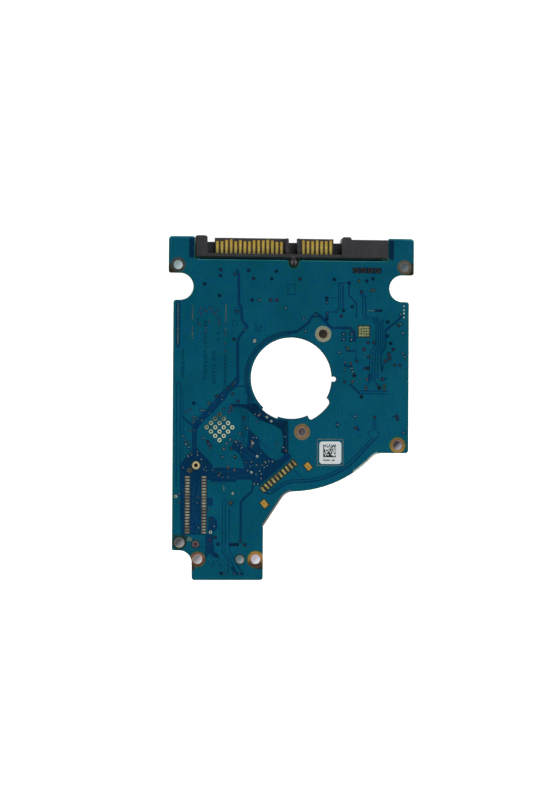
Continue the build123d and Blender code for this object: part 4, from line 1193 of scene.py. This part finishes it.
def beside_ring(layer, place, radius, start, end, corners):
    """A patch between a ring's window, from one direction to another, and the corners beyond it."""
    angles = [math.radians(start + (end - start) * i / 10) for i in range(11)]
    layer.patch(arc(*place, radius, angles) + corners)


with Layer("scorched_patches", "soot", 0.007, "tarnished_copper") as soot:
    for place, radius, start, end, corners in [
        (CORNER_HOLES[0], 2.06, 170, 278,
         [(-31.0, 28.8), (-33.45, 28.8), (-33.95, 29.3), (-33.95, 31.3)]),
        (CORNER_HOLES[1], 2.06, -92, 30,
         [(33.95, 32.2), (33.95, 29.3), (33.45, 28.8), (31.2, 28.8)]),
        (TAIL_HOLES[0], 2.16, 215, 250, [(-26.4, -52.6), (-27.1, -53.4), (-27.1, -50.9)]),
        (TAIL_HOLES[1], 2.38, 262, 324, [(-7.63, -51.6), (-7.63, -52.7), (-9.8, -52.5)]),
    ]:
        beside_ring(soot, place, radius, start, end, corners)

with Layer("shaded_mask_patches", "olive", 0.0065) as shade:
    shade.ring(*EDGE_HOLE, 1.46, 1.95)
    shade.block(-32.4, -28.7, -43.3, -43.9)
    beside_ring(shade, EDGE_HOLE, 1.95, 20, 90, [(-30.6, -43.3), (-28.7, -43.6), (-28.5, -44.6)])
    shade.ring(*TAIL_PLAIN_HOLE, 1.24, 1.45)

# Inner face: edges, fans of traces, solder fillets and corner marks round the packages

edge_strip("mask_edge_margin_inner", "margin", 0.004, board_edge, MASK_EDGE_WIDTH, side=-1)
edge_strip("mask_rim_at_spindle_inner", "olive", 0.004, spindle_edge, SPINDLE_RIM_WIDTH, side=-1)

INNER_RUNS = [
    # (count, step between neighbours, width, points of the first line)
    (9, (-0.12, 0.5), 0.2, [(12.2, 15.4), (9.4, 15.6), (5.6, 19.0), (3.4, 19.2)]),
    (6, (0.55, 0.0), 0.2, [(21.2, 5.0), (21.2, 3.9), (23.4, 1.7), (23.4, 0.4)]),
    (8, (0.55, 0.0), 0.2, [(13.6, 21.4), (13.6, 24.6), (9.2, 28.8), (9.2, 29.8)]),
    (6, (0.5, 0.0), 0.2, [(26.9, 8.4), (28.4, 6.9), (28.4, -5.8), (27.4, -7.0)]),
    (10, (0.0, -1.8), 0.2, [(-25.0, -27.5), (-21.6, -27.5)]),
    (8, (0.26, -1.8), 0.2, [(-19.3, -31.0), (-18.9, -31.0), (-18.5, -30.6), (-18.5, -24.6),
        (-17.4, -22.4)]),
    (7, (0.62, 0.3), 0.22, [(-17.2, -20.4), (-15.0, -22.6), (-12.2, -23.4)]),
    (6, (-0.6, 0.5), 0.2, [(-25.4, -8.6), (-29.2, -4.8), (-29.2, 4.0)]),
    (8, (0.0, 0.62), 0.2, [(-20.0, 21.2), (-21.4, 21.2), (-21.8, 20.8)]),
    (4, (1.3, -0.48), 0.5, [(-11.6, -18.0), (-12.6, -15.8), (-14.0, -14.6)]),
    (5, (0.0, 0.7), 0.2, [(-14.8, -2.4), (-17.0, -2.4), (-20.6, -6.0)]),
    (6, (0.6, 0.0), 0.2, [(15.0, 4.8), (15.0, 0.4), (18.0, -2.6), (18.0, -8.4)]),
    (3, (0.7, 0.0), 0.3, [(4.6, -23.6), (2.2, -21.2), (2.2, -18.6)]),
    (2, (1.0, 0.0), 0.3, [(-32.4, 5.0), (-32.4, -20.6), (-31.0, -22.0)]),
]
with Layer("pour_clearances_inner", "gap", 0.008, side=-1) as inner_gap:
    for count, (step_x, step_y), width, points in INNER_RUNS:
        for i in range(count):
            inner_gap.line([(x + step_x * i, y + step_y * i) for x, y in points], width)
    for radius in (12.4, 13.3):
        inner_gap.ring(0, 0, radius - 0.09, radius + 0.09, 100, 285)


def footprints(node, depth=0.16):
    """Plan hulls, anticlockwise, of a node's solids where they meet the inner face."""
    mesh = frame["nodes"][node].data
    spots = [tuple(round(c / MM, 3) for c in v.co) for v in mesh.vertices]
    root = {spot: spot for spot in spots}

    def top(spot):
        while root[spot] != spot:
            root[spot] = root[root[spot]]
            spot = root[spot]
        return spot

    for polygon in mesh.polygons:
        first = top(spots[polygon.vertices[0]])
        for i in polygon.vertices[1:]:
            root[top(spots[i])] = first
    solids = {}
    for spot in sorted(root):
        if spot[2] > INNER / MM - depth:
            solids.setdefault(top(spot), []).append(Vector((spot[0], spot[1] - SPINDLE_Y)))
    for points in solids.values():
        hull = [tuple(points[i]) for i in convex_hull_2d(points)]
        yield hull if doubled_area(hull) > 0 else hull[::-1]


def grown(hull, by):
    return [(x - s.x * by, y - s.y * by) for (x, y), s in zip(hull, mitres(hull, closed=True))]


FILLETS = {
    # reach of the solder beyond the terminal, and the nodes that have it
    0.06: ["controller_leads", "motor_driver_leads"],
    0.1: ["cache_memory_leads"],
    0.16: [
        "boot_flash_leads", "shock_sensor_terminals", "transient_diode_leads",
        "power_transistor_leads", "small_capacitor_terminals", "chip_resistor_terminals",
    ],
    0.24: ["large_capacitor_terminals", "power_inductor_terminals", "crystal_base"],
}
fillets = Layer("solder_fillets", "tin", 0.006, "solder_tin", -1)
lands = Layer("land_clearances_inner", "deep", 0.003, side=-1)
for reach, nodes in FILLETS.items():
    for node in nodes:
        for hull in footprints(node):
            fillets.shapes += 1
            wall = [fillets.point(x, y, 0.3 * reach) for x, y in hull]
            foot = [fillets.point(x, y) for x, y in grown(hull, reach)]
            fillets.bridge([row + row[:1] for row in (foot, wall)])
            if reach > 0.12:
                lands.patch(grown(hull, reach + 0.09))
fillets.finish()
lands.finish()

PACKAGES = [
    # x, y, half sizes of the marked rectangle, angle in degrees
    (*CONTROLLER, 8.5, 8.5, 0), (-8.5, 22.5, 11.7, 6.4, 0), (*DRIVER, 6.5, 6.5, 45),
    (25.5, -2.3, 3.0, 3.5, 0), (16.0, -14.5, 2.3, 1.8, 0), (25.0, -11.6, 3.1, 3.1, 0),
    (-26.6, 13.0, 3.1, 3.1, 0), (-26.0, -1.2, 1.9, 1.9, 45), (7.5, -25.2, 2.0, 1.7, 16),
]
MARK_ARM = 0.9
with Layer("corner_marks_inner", "mark", 0.012, side=-1) as corner_marks:
    for x, y, half_x, half_y, angle in PACKAGES:
        turn = math.radians(angle)
        for side_x, side_y in ((1, 1), (1, -1), (-1, 1), (-1, -1)):
            bracket = []
            for back_x, back_y in ((MARK_ARM, 0), (0, 0), (0, MARK_ARM)):
                u, v = (half_x - back_x) * side_x, (half_y - back_y) * side_y
                across = u * math.cos(turn) - v * math.sin(turn)
                along = u * math.sin(turn) + v * math.cos(turn)
                bracket.append((x + across, y + along))
            corner_marks.line(bracket, 0.14, round_ends=False)
inner_vias.finish()

# Label print and the frame etched round the label

LABEL_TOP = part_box("id_label")[1].z
with Layer("label_print", "ink", 0.004, "label_paper", level=LABEL_TOP) as label_print:
    cell, left, low, last = 0.27, 8.95, -21.75, 12
    for row in range(last + 1):
        for column in range(last + 1):
            dashes = (row == last and column % 2 == 0) or (column == last and row % 2 == 1)
            framed = row == 0 or column == 0 or dashes
            if framed or 0 < row < last and 0 < column < last and rng.random() < 0.48:
                x, y = left + cell * column, low + cell * row
                label_print.block(x, left + cell * (column + 1), y, low + cell * (row + 1))
    for i in range(7):
        if i != 4:
            tall = rng.uniform(0.34, 0.5)
            label_print.block(9.05 + 0.45 * i, 9.37 + 0.45 * i, -22.8, -22.8 + tall)

with Layer("label_frame", "mark", 0.011) as label_frame:
    start = (7.3, -16.8)
    label_frame.line([start, (14.45, -16.8), (14.45, -24.0), (7.3, -24.0), start], 0.2)

# Camera and lights

camera_data = bpy.data.cameras.new("camera")
camera_data.lens = 104.78
camera_data.sensor_width = 36.0
camera_data.clip_start = 0.01
camera_data.clip_end = 20.0
camera = bpy.data.objects.new("camera", camera_data)
camera.location = (-0.06145, -0.01043, 0.6437)
camera.rotation_euler = [math.radians(a) for a in (1.097, -5.221, 0.31)]
bpy.context.scene.collection.objects.link(camera)
bpy.context.scene.camera = camera

# Square soft lights aimed at the board's middle
for name, azimuth, elevation, distance, size, power in [
    ("softbox_left", -60, 40, 0.60, 0.34, 1.70),
    ("softbox_right", 65, 40, 0.60, 0.34, 1.48),
    ("softbox_back", 160, 42, 0.60, 0.34, 1.48),
    ("softbox_front", 5, 38, 0.62, 0.34, 1.2),
    ("softbox_under", 200, -65, 0.55, 0.4, 0.7),
]:
    light = bpy.data.lights.new(name, "AREA")
    light.size = size
    light.energy = power
    lamp = bpy.data.objects.new(name, light)
    a, e = math.radians(azimuth), math.radians(elevation)
    way = Vector((math.sin(a) * math.cos(e), -math.cos(a) * math.cos(e), math.sin(e)))
    lamp.location = way * distance
    lamp.rotation_euler = (-lamp.location).to_track_quat("-Z", "Y").to_euler()
    bpy.context.scene.collection.objects.link(lamp)

# Stage: a white floor, and glowing grey cards under the small holes and the connector's gap, for the
# table that shows through them, with its shade painted on

ROUND = [math.radians(5 * i) for i in range(72)]
FLOOR_RADIUS, FLOOR_HEIGHT = 0.9, -0.00005
FLOOR_WHITE = [0.8, 0.8, 0.8, 1.0]
CARD_HEIGHT = INNER - 0.25 * MM
STRIP_HEIGHT = 0.0032


def seen_from_camera(x, y, height):
    """The point at a height that the camera sees through the board's outer face at (x, y)."""
    lean = (OUTER - height) / (camera.location.z - OUTER)
    x, y = x * MM, (y + SPINDLE_Y) * MM
    return x + (x - camera.location.x) * lean, y + (y - camera.location.y) * lean


def stage_card(name, ring, height, low, high, gain=0.0):
    """Glowing card under the board, see-through from beneath, shaded from corner to corner."""
    left, right = min(p[0] for p in ring), max(p[0] for p in ring)
    x, radius = (left + right) / 2, (right - left) / 2
    y = (min(p[1] for p in ring) + max(p[1] for p in ring)) / 2
    mesh = bpy.data.meshes.new(name)
    mesh.from_pydata([(px, py, height) for px, py in ring], [], [tuple(range(len(ring)))])
    disc = bpy.data.objects.new(name, mesh)
    bpy.context.scene.collection.objects.link(disc)
    card = Nodes(name)
    card.tree.nodes.clear()
    coords = card.add("ShaderNodeTexCoord").outputs["Object"]
    place = card.add("ShaderNodeSeparateXYZ", {0: coords}).outputs
    slope = card.math("SUBTRACT", place[0], place[1])
    share = card.ramp(slope, x - y - radius * 0.4, x - y + radius * 1.2)
    glow = card.add("ShaderNodeEmission", {"Color": card.mix(share, low, high)}).outputs[0]
    white = card.add("ShaderNodeBsdfDiffuse", {"Color": (gain, gain, gain, 1.0)}).outputs[0]
    both = card.add("ShaderNodeAddShader", {0: glow, 1: white}).outputs[0]
    clear = card.add("ShaderNodeBsdfTransparent").outputs[0]
    under = card.add("ShaderNodeNewGeometry").outputs["Backfacing"]
    choice = card.add("ShaderNodeMixShader", {0: under, 1: both, 2: clear}).outputs[0]
    card.add("ShaderNodeOutputMaterial", {"Surface": choice})
    mesh.materials.append(card.material)
    disc.visible_shadow = False
    disc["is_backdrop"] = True


stage_card("floor", arc(0, 0, FLOOR_RADIUS, ROUND), FLOOR_HEIGHT, FLOOR_WHITE, FLOOR_WHITE, 0.9)
# per hole: painted shade seen down it, from its darker colour to its lighter one across the card
for number, ((x, y), radius, low, high) in enumerate([
    (CORNER_HOLES[0], 1.4, (132, 152, 154), (182, 196, 204)),
    (CORNER_HOLES[1], 1.4, (76, 86, 88), (108, 118, 124)),
    (MIDDLE_HOLES[0], 1.4, (40, 42, 36), (58, 52, 44)),
    (MIDDLE_HOLES[1], 1.3, (76, 66, 70), (94, 90, 96)),
    (MIDDLE_HOLES[2], 1.4, (62, 58, 60), (168, 170, 178)),
    (TAIL_HOLES[0], 1.4, (128, 120, 120), (196, 194, 198)),
    (TAIL_HOLES[1], 1.4, (180, 176, 184), (222, 224, 232)),
    (EDGE_HOLE, 1.4, (72, 76, 80), (156, 156, 158)),
    (TAIL_PLAIN_HOLE, 1.2, (92, 112, 114), (150, 160, 166)),
    (LOCATOR_HOLES[0], 0.8, (30, 22, 16), (48, 34, 24)),
    (LOCATOR_HOLES[1], 0.7, (48, 30, 44), (64, 48, 60)),
], start=1):
    ring = arc(*seen_from_camera(x, y, CARD_HEIGHT), radius * MM, ROUND)
    stage_card(f"shade_card_{number}", ring, CARD_HEIGHT, low, high)
# painted shade seen through the gap between the connector and the board
corners = [(-27.3, 29.0), (27.3, 29.0), (27.3, 34.0), (-27.3, 34.0)]
strip = [seen_from_camera(x, y, STRIP_HEIGHT) for x, y in corners]
stage_card("shade_card_strip", strip, STRIP_HEIGHT, (16, 44, 44), (22, 52, 52))

world = bpy.data.worlds.new("studio")
world.use_nodes = True
world.node_tree.nodes["Background"].inputs["Color"].default_value = (1, 1, 1, 1)
world.cycles_visibility.diffuse = False
world.cycles_visibility.glossy = False
world.cycles_visibility.transmission = False
bpy.context.scene.world = world
bpy.context.scene.view_settings.view_transform = "Standard"

boxes = {"cad": cad_box, "visual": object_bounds()}
{name: [list(corner) for corner in box] for name, box in boxes.items()}
